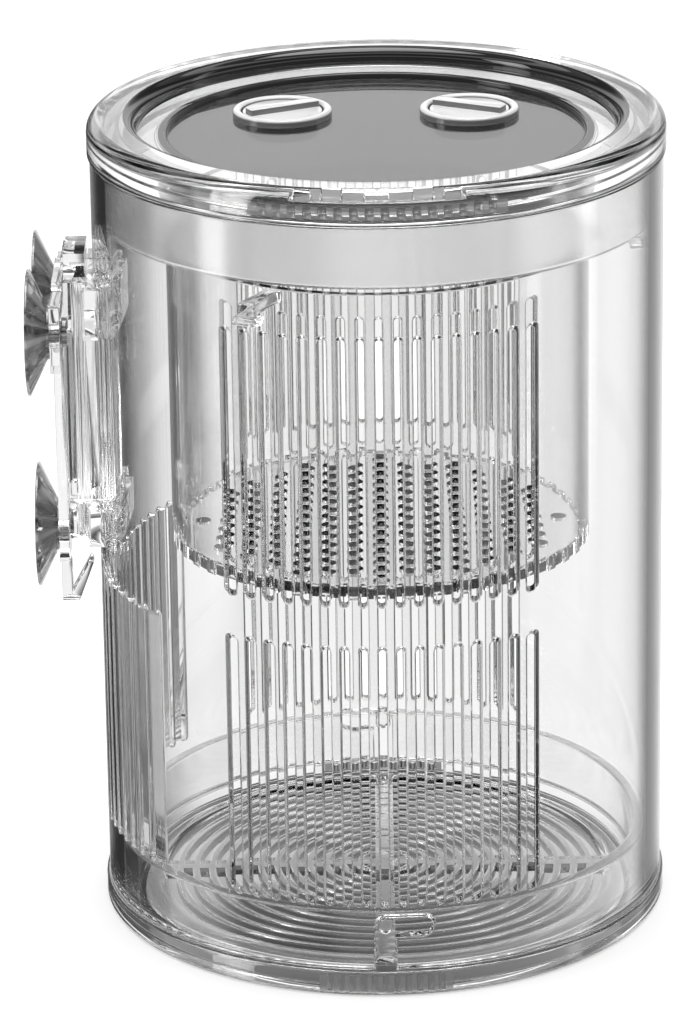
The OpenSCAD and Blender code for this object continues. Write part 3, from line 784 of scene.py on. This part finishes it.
def groove_depth(arc_from_middle, count, pitch, radius):
    """How deep a row of round grooves is at a distance along the edge from its middle."""
    nearest = round(arc_from_middle / pitch + (count - 1) / 2)
    nearest = min(max(nearest, 0), count - 1)
    off = abs(arc_from_middle - (nearest - (count - 1) / 2) * pitch)
    return math.sqrt(radius * radius - off * off) if off < radius else 0.0


def fade_in(value, low, high, fade):
    """1 between low and high, falling to 0 over the fade on either side."""
    return max(0.0, min(1.0, (value - low) / fade, (high - value) / fade))


FRONT_DEGREES = 270
FRONT_ANGLE = math.radians(FRONT_DEGREES)


def lid_shape(r, z, angle):
    """Cuts the finger grooves and the notch into the lid's rim."""
    off = angle - FRONT_ANGLE
    if abs(math.degrees(off)) > LID_FINE_HALF:
        return r, z
    if r > LID_R - GRIP_FADE and z < NOTCH_FLOOR:
        depth = groove_depth(LID_R * off, LID_GRIPS, LID_GRIP_PITCH, LID_GRIP_R)
        return r - depth * fade_in(z, GRIP_LOW, GRIP_TOP, GRIP_FADE), z
    if z > NOTCH_FLOOR and r * math.cos(off) > NOTCH_WALL and abs(r * math.sin(off)) < NOTCH_HALF:
        return r, NOTCH_FLOOR
    return r, z


lid_corners = [
    (SKIRT_IN_R, SKIRT_LOW, SKIRT_EDGE), (SKIRT_R, SKIRT_LOW, SKIRT_EDGE),
    (SKIRT_R, LID_LOW, SKIRT_OUT_CORNER), (LID_R, LID_LOW, LID_LOW_ROUND),
    (LID_R, LID_TOP, LID_ROUND), (RIM_IN_R, LID_TOP, RIM_IN_ROUND), (RIM_IN_R, STEP_Z, STEP_EDGE),
    (STEP_IN_R, STEP_Z, STEP_EDGE), (STEP_IN_R, PANEL_TOP, REBATE_EDGE),
    (REBATE_R, PANEL_TOP, REBATE_EDGE), (REBATE_R, LID_LOW, REBATE_CORNER),
    (SKIRT_IN_R, LID_LOW, SKIRT_IN_CORNER),
]
lid_outline = rounded_profile(lid_corners)
grip_stops = [GRIP_LOW, GRIP_LOW + GRIP_FADE, GRIP_TOP - GRIP_FADE, GRIP_TOP, NOTCH_FLOOR,
              LID_LOW - FINISH_MARGIN]
lid_outline = with_stops(lid_outline, grip_stops, 1)
lid_outline = with_stops(lid_outline, [NOTCH_WALL + stop for stop in NOTCH_STOPS], 0)
LID_PLASTIC = new_plastic("lid plastic", flat_on=1.0, painted_edge_shade=0.15, smooth=0.0, hazy=0.0,
                          ripple_depth=0.0)
SATIN_PLASTIC = new_plastic("satin plastic", flat_on=1.0, painted_edge_shade=0.95, smooth=0.2, hazy=0.28,
                            ripple_depth=0.0)
# The step's upright faces are painted black as shade: opaque, with only a gloss.
STEP_SHADE_PLASTIC = new_plastic("painted shade step", flat_on=0.01, painted_edge_shade=0.01, smooth=0.0, hazy=0.02,
                           see_through=0.0)
# The finger grips are painted a darker grey as shade, and are partly opaque.
GRIP_SHADE_PLASTIC = new_plastic("grip with painted shade", flat_on=0.3, painted_edge_shade=0.1, smooth=0.0, hazy=0.02,
                           see_through=0.4)


def in_row(arc_from_middle, count, pitch):
    """True along a row of grooves."""
    return abs(arc_from_middle) < (count + 1) / 2 * pitch


def lid_finish(r, z, angle):
    """Material number: 1 is the satin skirt, 2 the step's faces in painted black shade, 3 the grip in
    painted shade.
    """
    if r > LID_R - GRIP_FADE and GRIP_LOW < z < GRIP_TOP:
        return 3 if in_row(LID_R * (angle - FRONT_ANGLE), LID_GRIPS, LID_GRIP_PITCH) else 0
    if r > SKIRT_IN_R + SKIRT_EDGE + FINISH_MARGIN and z < LID_LOW - FINISH_MARGIN:
        return 1
    if PANEL_TOP - FINISH_MARGIN < z and r < RIM_IN_R + RIM_IN_ROUND:
        past_edge = STEP_EDGE + FINISH_MARGIN
        on_tread = STEP_IN_R + past_edge < r < RIM_IN_R - past_edge
        return 0 if on_tread else 2
    return 0


lid_angles = turn_angles([FRONT_DEGREES], LID_FINE_HALF + FINE_MARGIN)
lid_rim = turned("lid_rim_shell", lid_outline, lid_angles,
                 [LID_PLASTIC, SATIN_PLASTIC, STEP_SHADE_PLASTIC, GRIP_SHADE_PLASTIC], lid_shape, lid_finish)
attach(lid_rim, "lid")
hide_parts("lid_rim")


# Lid panel: a round plate of smoked plastic, bonded into a rebate under the rim's step. A round
# hole is drilled through it for each of the two feeding ports.
PANEL_LOW = 153.6
PANEL_R = 41.8
PORT_APART = 36.2
PORT_BACK = 14.0
PORT_HOLE_R = 7.2
PANEL_SIZES = {
    "Plate Radius": PANEL_R * MM,
    "Plate Thickness": (PANEL_TOP - PANEL_LOW) * MM,
    "Plate Middle": (PANEL_TOP + PANEL_LOW) / 2 * MM,
    "Port Hole Radius": PORT_HOLE_R * MM,
    "Port Distance": PORT_APART / 2 * MM,
    "Port Back": PORT_BACK * MM,
}
PANEL_CORNERS = 256
PORT_CORNERS = 96
SMOKED_PLASTIC = new_plastic("smoked panel", flat_on=0.08, painted_edge_shade=0.03, smooth=0.0, hazy=0.03)


def new_panel_recipe():
    """A round plate minus two round port holes."""
    recipe = new_recipe("lid panel", PANEL_SIZES)
    size = recipe.nodes.new("NodeGroupInput").outputs
    plate = add_step(recipe, "GeometryNodeMeshCylinder", Vertices=PANEL_CORNERS,
                     Radius=size["Plate Radius"], Depth=size["Plate Thickness"])
    deep = value_step(recipe, "MULTIPLY", size["Plate Thickness"], 2)
    drill = add_step(recipe, "GeometryNodeMeshCylinder", Vertices=PORT_CORNERS,
                     Radius=size["Port Hole Radius"], Depth=deep)
    drills = []
    for side in (1, -1):
        across = value_step(recipe, "MULTIPLY", size["Port Distance"], side)
        spot = add_step(recipe, "ShaderNodeCombineXYZ", X=across, Y=size["Port Back"])
        placed = add_step(recipe, "GeometryNodeTransform", Geometry=drill.outputs["Mesh"],
                          Translation=spot.outputs[0])
        drills.append(placed.outputs[0])
    cut = solid_step(recipe, "DIFFERENCE", drills, plate.outputs["Mesh"])
    finish_recipe(recipe, raised(recipe, cut, size["Plate Middle"]), SMOKED_PLASTIC)
    return recipe


made_by(new_panel_recipe(), "lid_panel_plate", PANEL_SIZES, "lid", "lid_panel")


# Port collars and plugs: each feeding port has a small ring of milky plastic bonded round it,
# and a hollow push-in plug of the same plastic with a raised bar to grip.
COLLAR_R = 9.65
COLLAR_IN_R = 8.0
COLLAR_TOP = 156.9
COLLAR_FOOT = 0.1
COLLAR_ROUND = 0.55
PORT_STEP = 2.5
PLUG_EDGE = 0.3
PLUG_EDGE_STEPS = 3
PORT_SIDES = {"left": -1, "right": 1}
# Its upright faces are painted dark as shade; the milky tint is its own.
PORT_PLASTIC = new_plastic("port plastic", flat_on=1.0, painted_edge_shade=0.8, smooth=0.0, hazy=0.02,
                           see_through=0.25, painted_wall_shade=0.2)
collar_outline = rounded_profile([
    (COLLAR_IN_R, PANEL_TOP, COLLAR_FOOT), (COLLAR_R, PANEL_TOP, COLLAR_FOOT),
    (COLLAR_R, COLLAR_TOP, COLLAR_ROUND), (COLLAR_IN_R, COLLAR_TOP, COLLAR_ROUND),
])
for side, sign in PORT_SIDES.items():
    port_place = Matrix.Translation((sign * PORT_APART / 2, PORT_BACK, 0))
    collar = turned(side + "_collar_ring", collar_outline, turn_angles([], 0, PORT_STEP, PORT_STEP),
                    [PORT_PLASTIC], place=port_place)
    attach(collar, "lid")
    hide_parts(side + "_port_collar")
    softened(side + "_port_plug", side + "_plug_soft", side + "_plug", PORT_PLASTIC,
             PLUG_EDGE, PLUG_EDGE_STEPS)


# Foot: a clear ring the box stands on, with a collar inside the tube, two locking pins and a finger
# grip of small grooves at the front and the back, painted darker as shade.
FOOT_R = 55.6
FOOT_H = 5.0
FOOT_EDGE = 0.9
LEDGE_IN_R = 47.6
SPIGOT_R = 51.9
SPIGOT_IN_R = 49.5
SPIGOT_TOP = 16.5
SPIGOT_EDGE = 0.5
LEDGE_EDGE = 0.2
INNER_EDGE = 0.3
GRILLE_Z = 2.4
FOOT_GRIPS = 11
FOOT_GRIP_PITCH = 2.15
FOOT_GRIP_R = 0.65
FOOT_FINE_HALF = 14.0
PIN_R = 1.6
PIN_END = 54.6
PIN_FROM = 51.5
PIN_FOOT = 0.05
PIN_ROUND = 0.4
PIN_STEP = 6.0
BACK_DEGREES = 90
BACK_ANGLE = math.radians(BACK_DEGREES)


def foot_shape(r, z, angle):
    """Cuts the foot's finger grips at the front and the back."""
    for centre in (FRONT_ANGLE, BACK_ANGLE):
        off = angle - centre
        if abs(math.degrees(off)) < FOOT_FINE_HALF and r > FOOT_R - GRIP_FADE:
            depth = groove_depth(FOOT_R * off, FOOT_GRIPS, FOOT_GRIP_PITCH, FOOT_GRIP_R)
            return r - depth * fade_in(z, FOOT_EDGE - GRIP_FADE, FOOT_H - FOOT_EDGE + GRIP_FADE,
                                       GRIP_FADE), z
    return r, z


def foot_finish(r, z, angle):
    """Material number: 1 is the finger grips at the front and the back, painted darker as shade."""
    rows = [FOOT_R * (angle - centre) for centre in (FRONT_ANGLE, BACK_ANGLE)]
    gripped = any(in_row(along, FOOT_GRIPS, FOOT_GRIP_PITCH) for along in rows)
    return 1 if gripped and r > FOOT_R - GRIP_FADE and FOOT_EDGE < z < FOOT_H - FOOT_EDGE else 0


foot_outline = rounded_profile([
    (LEDGE_IN_R, 0, INNER_EDGE), (FOOT_R, 0, FOOT_EDGE), (FOOT_R, FOOT_H, FOOT_EDGE),
    (SPIGOT_R, FOOT_H, INNER_EDGE), (SPIGOT_R, SPIGOT_TOP, SPIGOT_EDGE),
    (SPIGOT_IN_R, SPIGOT_TOP, SPIGOT_EDGE), (SPIGOT_IN_R, GRILLE_Z, LEDGE_EDGE),
    (LEDGE_IN_R, GRILLE_Z, LEDGE_EDGE),
])
foot_outline = with_stops(foot_outline, [FOOT_EDGE + GRIP_FADE, FOOT_H - FOOT_EDGE - GRIP_FADE], 1)
foot_angles = turn_angles([BACK_DEGREES, FRONT_DEGREES], FOOT_FINE_HALF + FINE_MARGIN)
foot_ring = turned("foot_shell", foot_outline, foot_angles, [CLEAR_PLASTIC, GRIP_SHADE_PLASTIC],
                   foot_shape, foot_finish)
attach(foot_ring, "foot")
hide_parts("foot_ring")
pin_outline = rounded_profile([
    (0, PIN_FROM, 0), (PIN_R, PIN_FROM, PIN_FOOT), (PIN_R, PIN_END, PIN_ROUND), (0, PIN_END, 0),
])
for end, tilt in {"front": 90, "back": -90}.items():
    pin_place = Matrix.Translation((0, 0, PIN_Z)) @ Matrix.Rotation(math.radians(tilt), 4, "X")
    pin = turned(end + "_pin", pin_outline, turn_angles([], 0, PIN_STEP, PIN_STEP),
                 [CLEAR_PLASTIC], place=pin_place)
    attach(pin, "foot")


# Foot grille: thin clear ribs in rings, crossed by two wide spokes, moulded as one flat plate that
# lies on the foot's ledge. A hub under its middle goes down to the table.
GRILLE_SIZES = {
    "Grille Underside": GRILLE_Z * MM,
    "Grille Thickness": 2.0 * MM,
    "Rib Count": 12,
    "First Rib Radius": 5.325 * MM,
    "Rib Pitch": 3.25 * MM,
    "Rib Width": 1.65 * MM,
    "Rib Rounding": 0.3 * MM,
    "Band Radius": 46.35 * MM,
    "Band Width": 5.7 * MM,
    "Spoke Width": 3.7 * MM,
    "Spoke Length": 88.0 * MM,
    "Hub Radius": 2.9 * MM,
}
RING_CORNERS = 192
BAND_CORNERS = 256
HUB_CORNERS = 48
# The edges and upright sides of its ribs are painted darker as shade.
GRILLE_PLASTIC = new_plastic("grille plastic", flat_on=0.96, painted_edge_shade=0.3, smooth=0.0, hazy=0.02,
                             painted_wall_shade=0.3)


def new_grille_recipe():
    """Rings of ribs, an outer band, two spokes and a hub, joined into one solid."""
    recipe = new_recipe("ring grille", GRILLE_SIZES)
    size = recipe.nodes.new("NodeGroupInput").outputs
    place = add_step(recipe, "GeometryNodeMeshLine", Count=size["Rib Count"], Offset=(0, 0, 0))
    index = recipe.nodes.new("GeometryNodeInputIndex")
    further = value_step(recipe, "MULTIPLY", index.outputs[0], size["Rib Pitch"])
    radius = value_step(recipe, "ADD", further, size["First Rib Radius"])
    scale = add_step(recipe, "ShaderNodeCombineXYZ", X=radius, Y=radius, Z=1.0)
    circle = add_step(recipe, "GeometryNodeCurvePrimitiveCircle", Resolution=RING_CORNERS, Radius=1.0)
    rings = add_step(recipe, "GeometryNodeInstanceOnPoints", Points=place.outputs[0],
                     Instance=circle.outputs["Curve"], Scale=scale.outputs[0])
    real_rings = add_step(recipe, "GeometryNodeRealizeInstances", Geometry=rings.outputs[0])
    band = add_step(recipe, "GeometryNodeCurvePrimitiveCircle", Resolution=BAND_CORNERS,
                    Radius=size["Band Radius"])
    swept = []
    for path, width in ((real_rings.outputs[0], size["Rib Width"]),
                        (band.outputs["Curve"], size["Band Width"])):
        level = add_step(recipe, "GeometryNodeSetCurveNormal", {"mode": "Z_UP"}, Curve=path)
        section = add_step(recipe, "GeometryNodeCurvePrimitiveQuadrilateral",
                           Width=width, Height=size["Grille Thickness"])
        soft = add_step(recipe, "GeometryNodeFilletCurve", {"mode": "POLY"}, Curve=section.outputs[0],
                        Radius=size["Rib Rounding"], Count=2)
        sweep = add_step(recipe, "GeometryNodeCurveToMesh", Curve=level.outputs[0],
                         Profile_Curve=soft.outputs[0])
        swept.append(sweep.outputs[0])
    for along, across in (("Spoke Length", "Spoke Width"), ("Spoke Width", "Spoke Length")):
        block = add_step(recipe, "ShaderNodeCombineXYZ", X=size[along], Y=size[across],
                         Z=size["Grille Thickness"])
        spoke = add_step(recipe, "GeometryNodeMeshCube", Size=block.outputs[0])
        swept.append(spoke.outputs["Mesh"])
    hub_h = value_step(recipe, "ADD", size["Grille Underside"], size["Grille Thickness"])
    hub = add_step(recipe, "GeometryNodeMeshCylinder", Vertices=HUB_CORNERS,
                   Radius=size["Hub Radius"], Depth=hub_h)
    sink = value_step(recipe, "MULTIPLY", size["Grille Underside"], -0.5)
    swept.append(raised(recipe, hub.outputs["Mesh"], sink))
    joined = solid_step(recipe, "UNION", swept)
    half = value_step(recipe, "MULTIPLY", size["Grille Thickness"], 0.5)
    middle = value_step(recipe, "ADD", half, size["Grille Underside"])
    finish_recipe(recipe, raised(recipe, joined, middle), GRILLE_PLASTIC)
    return recipe


made_by(new_grille_recipe(), "foot_grille_plate", GRILLE_SIZES, "foot", "foot_grille")


# Bracket: two moulded loops held in the tube's windows guide a clear bar with a thumb tab at its
# top. The bar carries the plate for the cups and a tongue that hooks under the lower loop.
BRACKET_PLASTIC = new_plastic("bracket plastic", flat_on=0.93, painted_edge_shade=0.3, smooth=0.01, hazy=0.06)
BRACKET_EDGE = 0.3
TONGUE_EDGE = 0.12
for node, body in {"upper_loop": "tube_body", "lower_loop": "tube_body", "cup_plate": "bracket",
                   "slide_bar": "bracket", "thumb_tab": "bracket", "snap_tongue": "bracket"}.items():
    edge = TONGUE_EDGE if node == "snap_tongue" else BRACKET_EDGE
    softened(node, node + "_soft", body, BRACKET_PLASTIC, edge)


# Suction cups: three cups of soft smoky vinyl, each moulded in one piece with a stem and a head.
# The head is pushed through a hole in the bracket's plate and holds the cup there. The vinyl has
# painted reflection streaks.
CUP_R = 12.2
CUP_HUB_R = 5.2
CUP_LIP = 0.5
CUP_SEAT = 7.8
CUP_RIM = 12.1
CUP_FLOOR = 1.1
STEM_R = 2.1
HEAD_R = 2.9
HEAD_LOW = 4.5
HEAD_TOP = 5.6
HEAD_EDGE = 0.3
STEM_CORNER = 0.15
HUB_EDGE = 0.2
RIM_BACK_EDGE = 0.15
RIM_EDGE = 0.2
RIM_FACE_EDGE = 0.1
HOLLOW_CORNER = 0.8
CUP_PLACES = {
    "upper_front_cup": (-13.0, 120.5, "front_cup"),
    "upper_rear_cup": (13.0, 120.5, "rear_cup"),
    "lower_cup": (0.0, 77.0, "low_cup"),
}
CUP_STEP = 2.5
VINYL_GLOSS = 0.05
# Painted reflection streaks on the vinyl: their size, where they start and end, and how dark and light
# they paint it.
STREAK_SCALE = 4.0
STREAK_FROM = 0.4
STREAK_TO = 0.65
PAINTED_STREAK_SHADE = 0.05
PAINTED_STREAK_LIGHT = 2.2


def new_vinyl():
    """Smoky soft vinyl with a glossy skin, and painted reflection streaks that run out from its middle.
    """
    material = new_plastic("smoky vinyl with painted streaks", flat_on=0.3, painted_edge_shade=0.1, smooth=0.03, hazy=0.12,
                           see_through=0.4)
    tree = material.node_tree
    plastic = next(n for n in tree.nodes if n.type == "BSDF_PRINCIPLED")
    plastic.inputs["Coat Weight"].default_value = 1.0
    plastic.inputs["Coat Roughness"].default_value = VINYL_GLOSS
    plain = plastic.inputs["Base Color"].links[0].from_socket
    around = add_step(tree, "ShaderNodeAttribute", {"attribute_name": "around"})
    # The streaks are painted light and shade on the base colour.
    painted_streaks = add_step(tree, "ShaderNodeTexNoise", Vector=around.outputs["Vector"],
                       Scale=STREAK_SCALE)
    light = add_step(tree, "ShaderNodeMapRange", Value=painted_streaks.outputs["Fac"], From_Min=STREAK_FROM,
                     From_Max=STREAK_TO, To_Min=PAINTED_STREAK_SHADE, To_Max=PAINTED_STREAK_LIGHT)
    streak_painted = add_step(tree, "ShaderNodeVectorMath", {"operation": "SCALE"}, Vector=plain,
                        Scale=light.outputs["Result"])
    tree.links.new(streak_painted.outputs["Vector"], plastic.inputs["Base Color"])
    return material


CUP_VINYL = new_vinyl()
cup_outline = rounded_profile([
    (0, HEAD_LOW, 0), (HEAD_R, HEAD_LOW, HEAD_EDGE), (HEAD_R, HEAD_TOP, HEAD_EDGE),
    (STEM_R, HEAD_TOP, STEM_CORNER), (STEM_R, CUP_SEAT, STEM_CORNER), (CUP_HUB_R, CUP_SEAT, HUB_EDGE),
    (CUP_HUB_R, CUP_SEAT + CUP_LIP, HUB_EDGE), (CUP_R, CUP_RIM - CUP_LIP, RIM_BACK_EDGE),
    (CUP_R, CUP_RIM, RIM_EDGE), (CUP_R - 2 * CUP_LIP, CUP_RIM, RIM_FACE_EDGE),
    (CUP_HUB_R - CUP_LIP, CUP_SEAT + CUP_FLOOR + CUP_LIP, HOLLOW_CORNER),
    (0, CUP_SEAT + CUP_FLOOR, 0),
])
for node, (across, up, body) in CUP_PLACES.items():
    cup_place = Matrix.Translation((-TUBE_R, across, up)) @ Matrix.Rotation(math.radians(-90), 4, "Y")
    cup = turned(node + "_vinyl", cup_outline, turn_angles([], 0, CUP_STEP, CUP_STEP), [CUP_VINYL],
                 place=cup_place)
    around = cup.data.attributes.new("around", "FLOAT_VECTOR", "POINT")
    unplace = cup_place.inverted()
    for number, vertex in enumerate(cup.data.vertices):
        outwards = (unplace @ (vertex.co / MM)).xy.normalized()
        around.data[number].vector = (outwards.x, outwards.y, 0)
    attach(cup, body)
    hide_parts(node)


# Studio table: a plain white board that the box stands on. It is white to the camera and keeps the
# box's soft shadow. Seen bent through the plastic right under the box, it is a painted glow, dim at
# the front and bright at the back, which stands in for the table's light and shade.
FLOOR_HALF = 6.0
FLOOR_DROP = 0.0002
BOARD_PAINT = 0.82
BOARD_ROUGHNESS = 0.8
BOARD_GLOW = 0.35
SHADE_R = 56.0
# Painted light and shade of the table under the box, from its front to its back.
PAINTED_FRONT_GLOW = 0.08
PAINTED_BACK_GLOW = 0.8


def new_floor():
    """White table that keeps a soft shadow. Bent rays see it only right under the box, as a painted
    glow.
    """
    mesh = bpy.data.meshes.new("table")
    corners = [(-1, -1), (1, -1), (1, 1), (-1, 1)]
    mesh.from_pydata([(x * FLOOR_HALF, y * FLOOR_HALF, -FLOOR_DROP) for x, y in corners], [],
                     [(0, 1, 2, 3)])
    material = bpy.data.materials.new("white table")
    material.use_nodes = True
    tree = material.node_tree
    tree.nodes.clear()
    path = tree.nodes.new("ShaderNodeLightPath").outputs
    place = tree.nodes.new("ShaderNodeNewGeometry").outputs["Position"]
    paint = add_step(tree, "ShaderNodeBsdfPrincipled", Base_Color=grey(BOARD_PAINT),
                     Roughness=BOARD_ROUGHNESS, Emission_Color=grey(BOARD_GLOW),
                     Emission_Strength=path["Is Camera Ray"])
    split = add_step(tree, "ShaderNodeSeparateXYZ", Vector=place)
    # Painted light and shade under the box: a glow that grows from the front to the back.
    painted_falloff = add_step(tree, "ShaderNodeMapRange", Value=split.outputs["Y"], From_Min=-SHADE_R * MM,
                    From_Max=SHADE_R * MM, To_Min=PAINTED_FRONT_GLOW, To_Max=PAINTED_BACK_GLOW)
    painted_glow = add_step(tree, "ShaderNodeEmission", Strength=painted_falloff.outputs["Result"])
    clear = tree.nodes.new("ShaderNodeBsdfTransparent")
    bent = value_step(tree, "MAXIMUM", path["Is Glossy Ray"], path["Is Transmission Ray"])
    reach = add_step(tree, "ShaderNodeVectorMath", {"operation": "LENGTH"}, Vector=place)
    beyond = value_step(tree, "GREATER_THAN", reach.outputs["Value"], SHADE_R * MM)
    past = value_step(tree, "MULTIPLY", bent, beyond)
    near = mix_step(tree, bent, paint.outputs["BSDF"], painted_glow.outputs["Emission"])
    surface = mix_step(tree, past, near, clear.outputs["BSDF"])
    add_step(tree, "ShaderNodeOutputMaterial", Surface=surface)
    mesh.materials.append(material)
    table = bpy.data.objects.new("table", mesh)
    bpy.context.scene.collection.objects.link(table)


new_floor()

# Studio surroundings: clear plastic shows what stands round it, so there are dark flags and bright
# panels round the box, two upright strip lights, and bands above and below. Matt surfaces and the
# camera see plain white instead. Each row goes through (degrees, level).
ROUND_THE_BOX = [
    (-180, 0.4), (-165, 0.4), (-155, 0.08), (-118, 0.1), (-102, 0.8), (-78, 0.8), (-74, 0.15),
    (-60, 0.1), (-40, 0.03), (-12, 0.03), (-10.5, 0.3), (-8.9, 0.4), (-7.5, 0.7), (-5.9, 0.9),
    (-4, 1.0), (10, 1.0), (16, 0.75), (20, 0.4), (32, 0.25), (42, 0.3), (50, 1.1), (95, 1.1),
    (120, 0.7), (150, 0.5), (165, 0.4), (180, 0.4),
]
# The bands above and below, by degrees up, and the share that they take of the whole.
UP_AND_DOWN = [
    (-90, 0.9), (-66, 0.9), (-64, 0.3), (-50, 0.3), (-48, 1.3), (-37, 1.3), (-35, 0.5), (-28, 0.5),
    (4, 0.6), (6, 0.6), (9, 1.3), (17, 1.3), (18.5, 0.5), (21, 0.3), (23, 0.1), (30, 0.06),
    (33, 0.35), (40, 0.35), (42, 2.0), (50, 2.0), (52, 0.3), (64, 0.3), (67, 4.5), (90, 4.5),
]
TAKES_OVER = [(-90, 1.0), (-31, 1.0), (-28, 0.0), (4, 0.0), (8, 1.0), (90, 1.0)]
# The strip lights, by degrees round, and where they stop below and above, by degrees up.
STRIP_LIGHTS = [
    (-180, 0.0), (-117, 0.0), (-114, 3.0), (-105, 3.0), (-102, 0.0), (81, 0.0), (83, 1.5),
    (89, 1.5), (92, 0.0), (180, 0.0),
]
STRIPS_END = [(-90, 0.0), (-21, 0.0), (-18, 1.0), (30, 1.0), (34, 0.0), (90, 0.0)]
ROUND_LIMIT = 180
UP_LIMIT = 90
TOP_LEVEL = 4.5
EVEN_LEVEL = 0.8


def ramp_step(tree, angle, limit, stops, top=TOP_LEVEL):
    """Brightness by an angle between -limit and limit degrees, where a level of top comes out as 1."""
    spread = add_step(tree, "ShaderNodeMapRange", Value=angle, From_Min=-math.radians(limit),
                      From_Max=math.radians(limit))
    ramp = add_step(tree, "ShaderNodeValToRGB", Fac=spread.outputs["Result"])
    elements = ramp.color_ramp.elements
    elements[0].color = grey(stops[0][1] / top)
    elements[1].color = grey(stops[-1][1] / top)
    for degrees, level in stops[1:-1]:
        elements.new((degrees + limit) / (2 * limit)).color = grey(level / top)
    return ramp.outputs["Color"]


def new_surroundings():
    """World that is white to the camera, even to matt surfaces, and patterned in clear plastic."""
    world = bpy.data.worlds.new("studio")
    world.use_nodes = True
    tree = world.node_tree
    tree.nodes.clear()
    path = tree.nodes.new("ShaderNodeLightPath").outputs
    direction = tree.nodes.new("ShaderNodeTexCoord").outputs["Generated"]
    split = add_step(tree, "ShaderNodeSeparateXYZ", Vector=direction).outputs
    azimuth = value_step(tree, "ARCTAN2", split["X"], split["Y"])
    rise = value_step(tree, "ARCSINE", split["Z"])
    blend = add_step(tree, "ShaderNodeMix", {"data_type": "RGBA"},
                     Factor=ramp_step(tree, rise, UP_LIMIT, TAKES_OVER, 1.0),
                     A=ramp_step(tree, azimuth, ROUND_LIMIT, ROUND_THE_BOX),
                     B=ramp_step(tree, rise, UP_LIMIT, UP_AND_DOWN))
    strips = ramp_step(tree, azimuth, ROUND_LIMIT, STRIP_LIGHTS)
    ends = ramp_step(tree, rise, UP_LIMIT, STRIPS_END, 1.0)
    lit = add_step(tree, "ShaderNodeVectorMath", {"operation": "MULTIPLY_ADD"})
    for socket, source in zip(lit.inputs, (strips, ends, blend.outputs["Result"])):
        tree.links.new(source, socket)
    patterned = add_step(tree, "ShaderNodeBackground", Color=lit.outputs["Vector"], Strength=TOP_LEVEL)
    even = add_step(tree, "ShaderNodeBackground", Color=grey(EVEN_LEVEL))
    white = add_step(tree, "ShaderNodeBackground", Color=grey(1.0))
    bent = value_step(tree, "MAXIMUM", path["Is Glossy Ray"], path["Is Transmission Ray"])
    by_surface = mix_step(tree, bent, even.outputs[0], patterned.outputs[0])
    by_camera = mix_step(tree, path["Is Camera Ray"], by_surface, white.outputs[0])
    add_step(tree, "ShaderNodeOutputWorld", Surface=by_camera)
    bpy.context.scene.world = world


new_surroundings()


# Studio lamps: a soft wide lamp above the box and a smaller one at the left. They bring out the
# matt and glossy faces, while the surroundings do the rest.
def new_lamp(name, power, width, place, target):
    """Soft square lamp at a place in metres, aimed at a target."""
    lamp = bpy.data.lights.new(name, "AREA")
    lamp.energy = power
    lamp.size = width
    holder = bpy.data.objects.new(name, lamp)
    holder.location = place
    aim = Vector(target) - Vector(place)
    holder.rotation_euler = aim.to_track_quat("-Z", "Y").to_euler()
    bpy.context.scene.collection.objects.link(holder)


new_lamp("top lamp", power=5.0, width=0.8, place=(0.1, 0.1, 1.3), target=(0, 0, 0.05))
new_lamp("left lamp", power=2.5, width=0.4, place=(-0.9, -0.3, 0.6), target=(0, 0, 0.08))


# Camera: a long lens a metre away that looks down at the box, turned and tilted a little as in the
# photo. The place is in metres, the turns are in degrees, and the lens and sensor in millimetres.
CAMERA_PLACE = (-0.0004, -1.014, 0.4417)
CAMERA_DOWN = 19.70
CAMERA_LEFT = 0.389
CAMERA_ROLL = -0.825
CAMERA_LENS = 193.2
CAMERA_SENSOR = 36.0
CAMERA_NEAR = 0.01
camera_data = bpy.data.cameras.new("camera")
camera_data.lens = CAMERA_LENS
camera_data.sensor_width = CAMERA_SENSOR
camera_data.clip_start = CAMERA_NEAR
camera = bpy.data.objects.new("camera", camera_data)
camera_turn = (Matrix.Rotation(math.radians(CAMERA_LEFT), 4, "Z")
               @ Matrix.Rotation(math.radians(90 - CAMERA_DOWN), 4, "X")
               @ Matrix.Rotation(math.radians(CAMERA_ROLL), 4, "Z"))
camera.matrix_world = Matrix.Translation(CAMERA_PLACE) @ camera_turn
bpy.context.scene.collection.objects.link(camera)
scene = bpy.context.scene
scene.camera = camera
scene.view_settings.view_transform = "Standard"
scene.cycles.max_bounces = 40
scene.cycles.transmission_bounces = 32
scene.cycles.glossy_bounces = 16
scene.cycles.transparent_max_bounces = 32
scene.cycles.caustics_reflective = False
scene.cycles.caustics_refractive = False
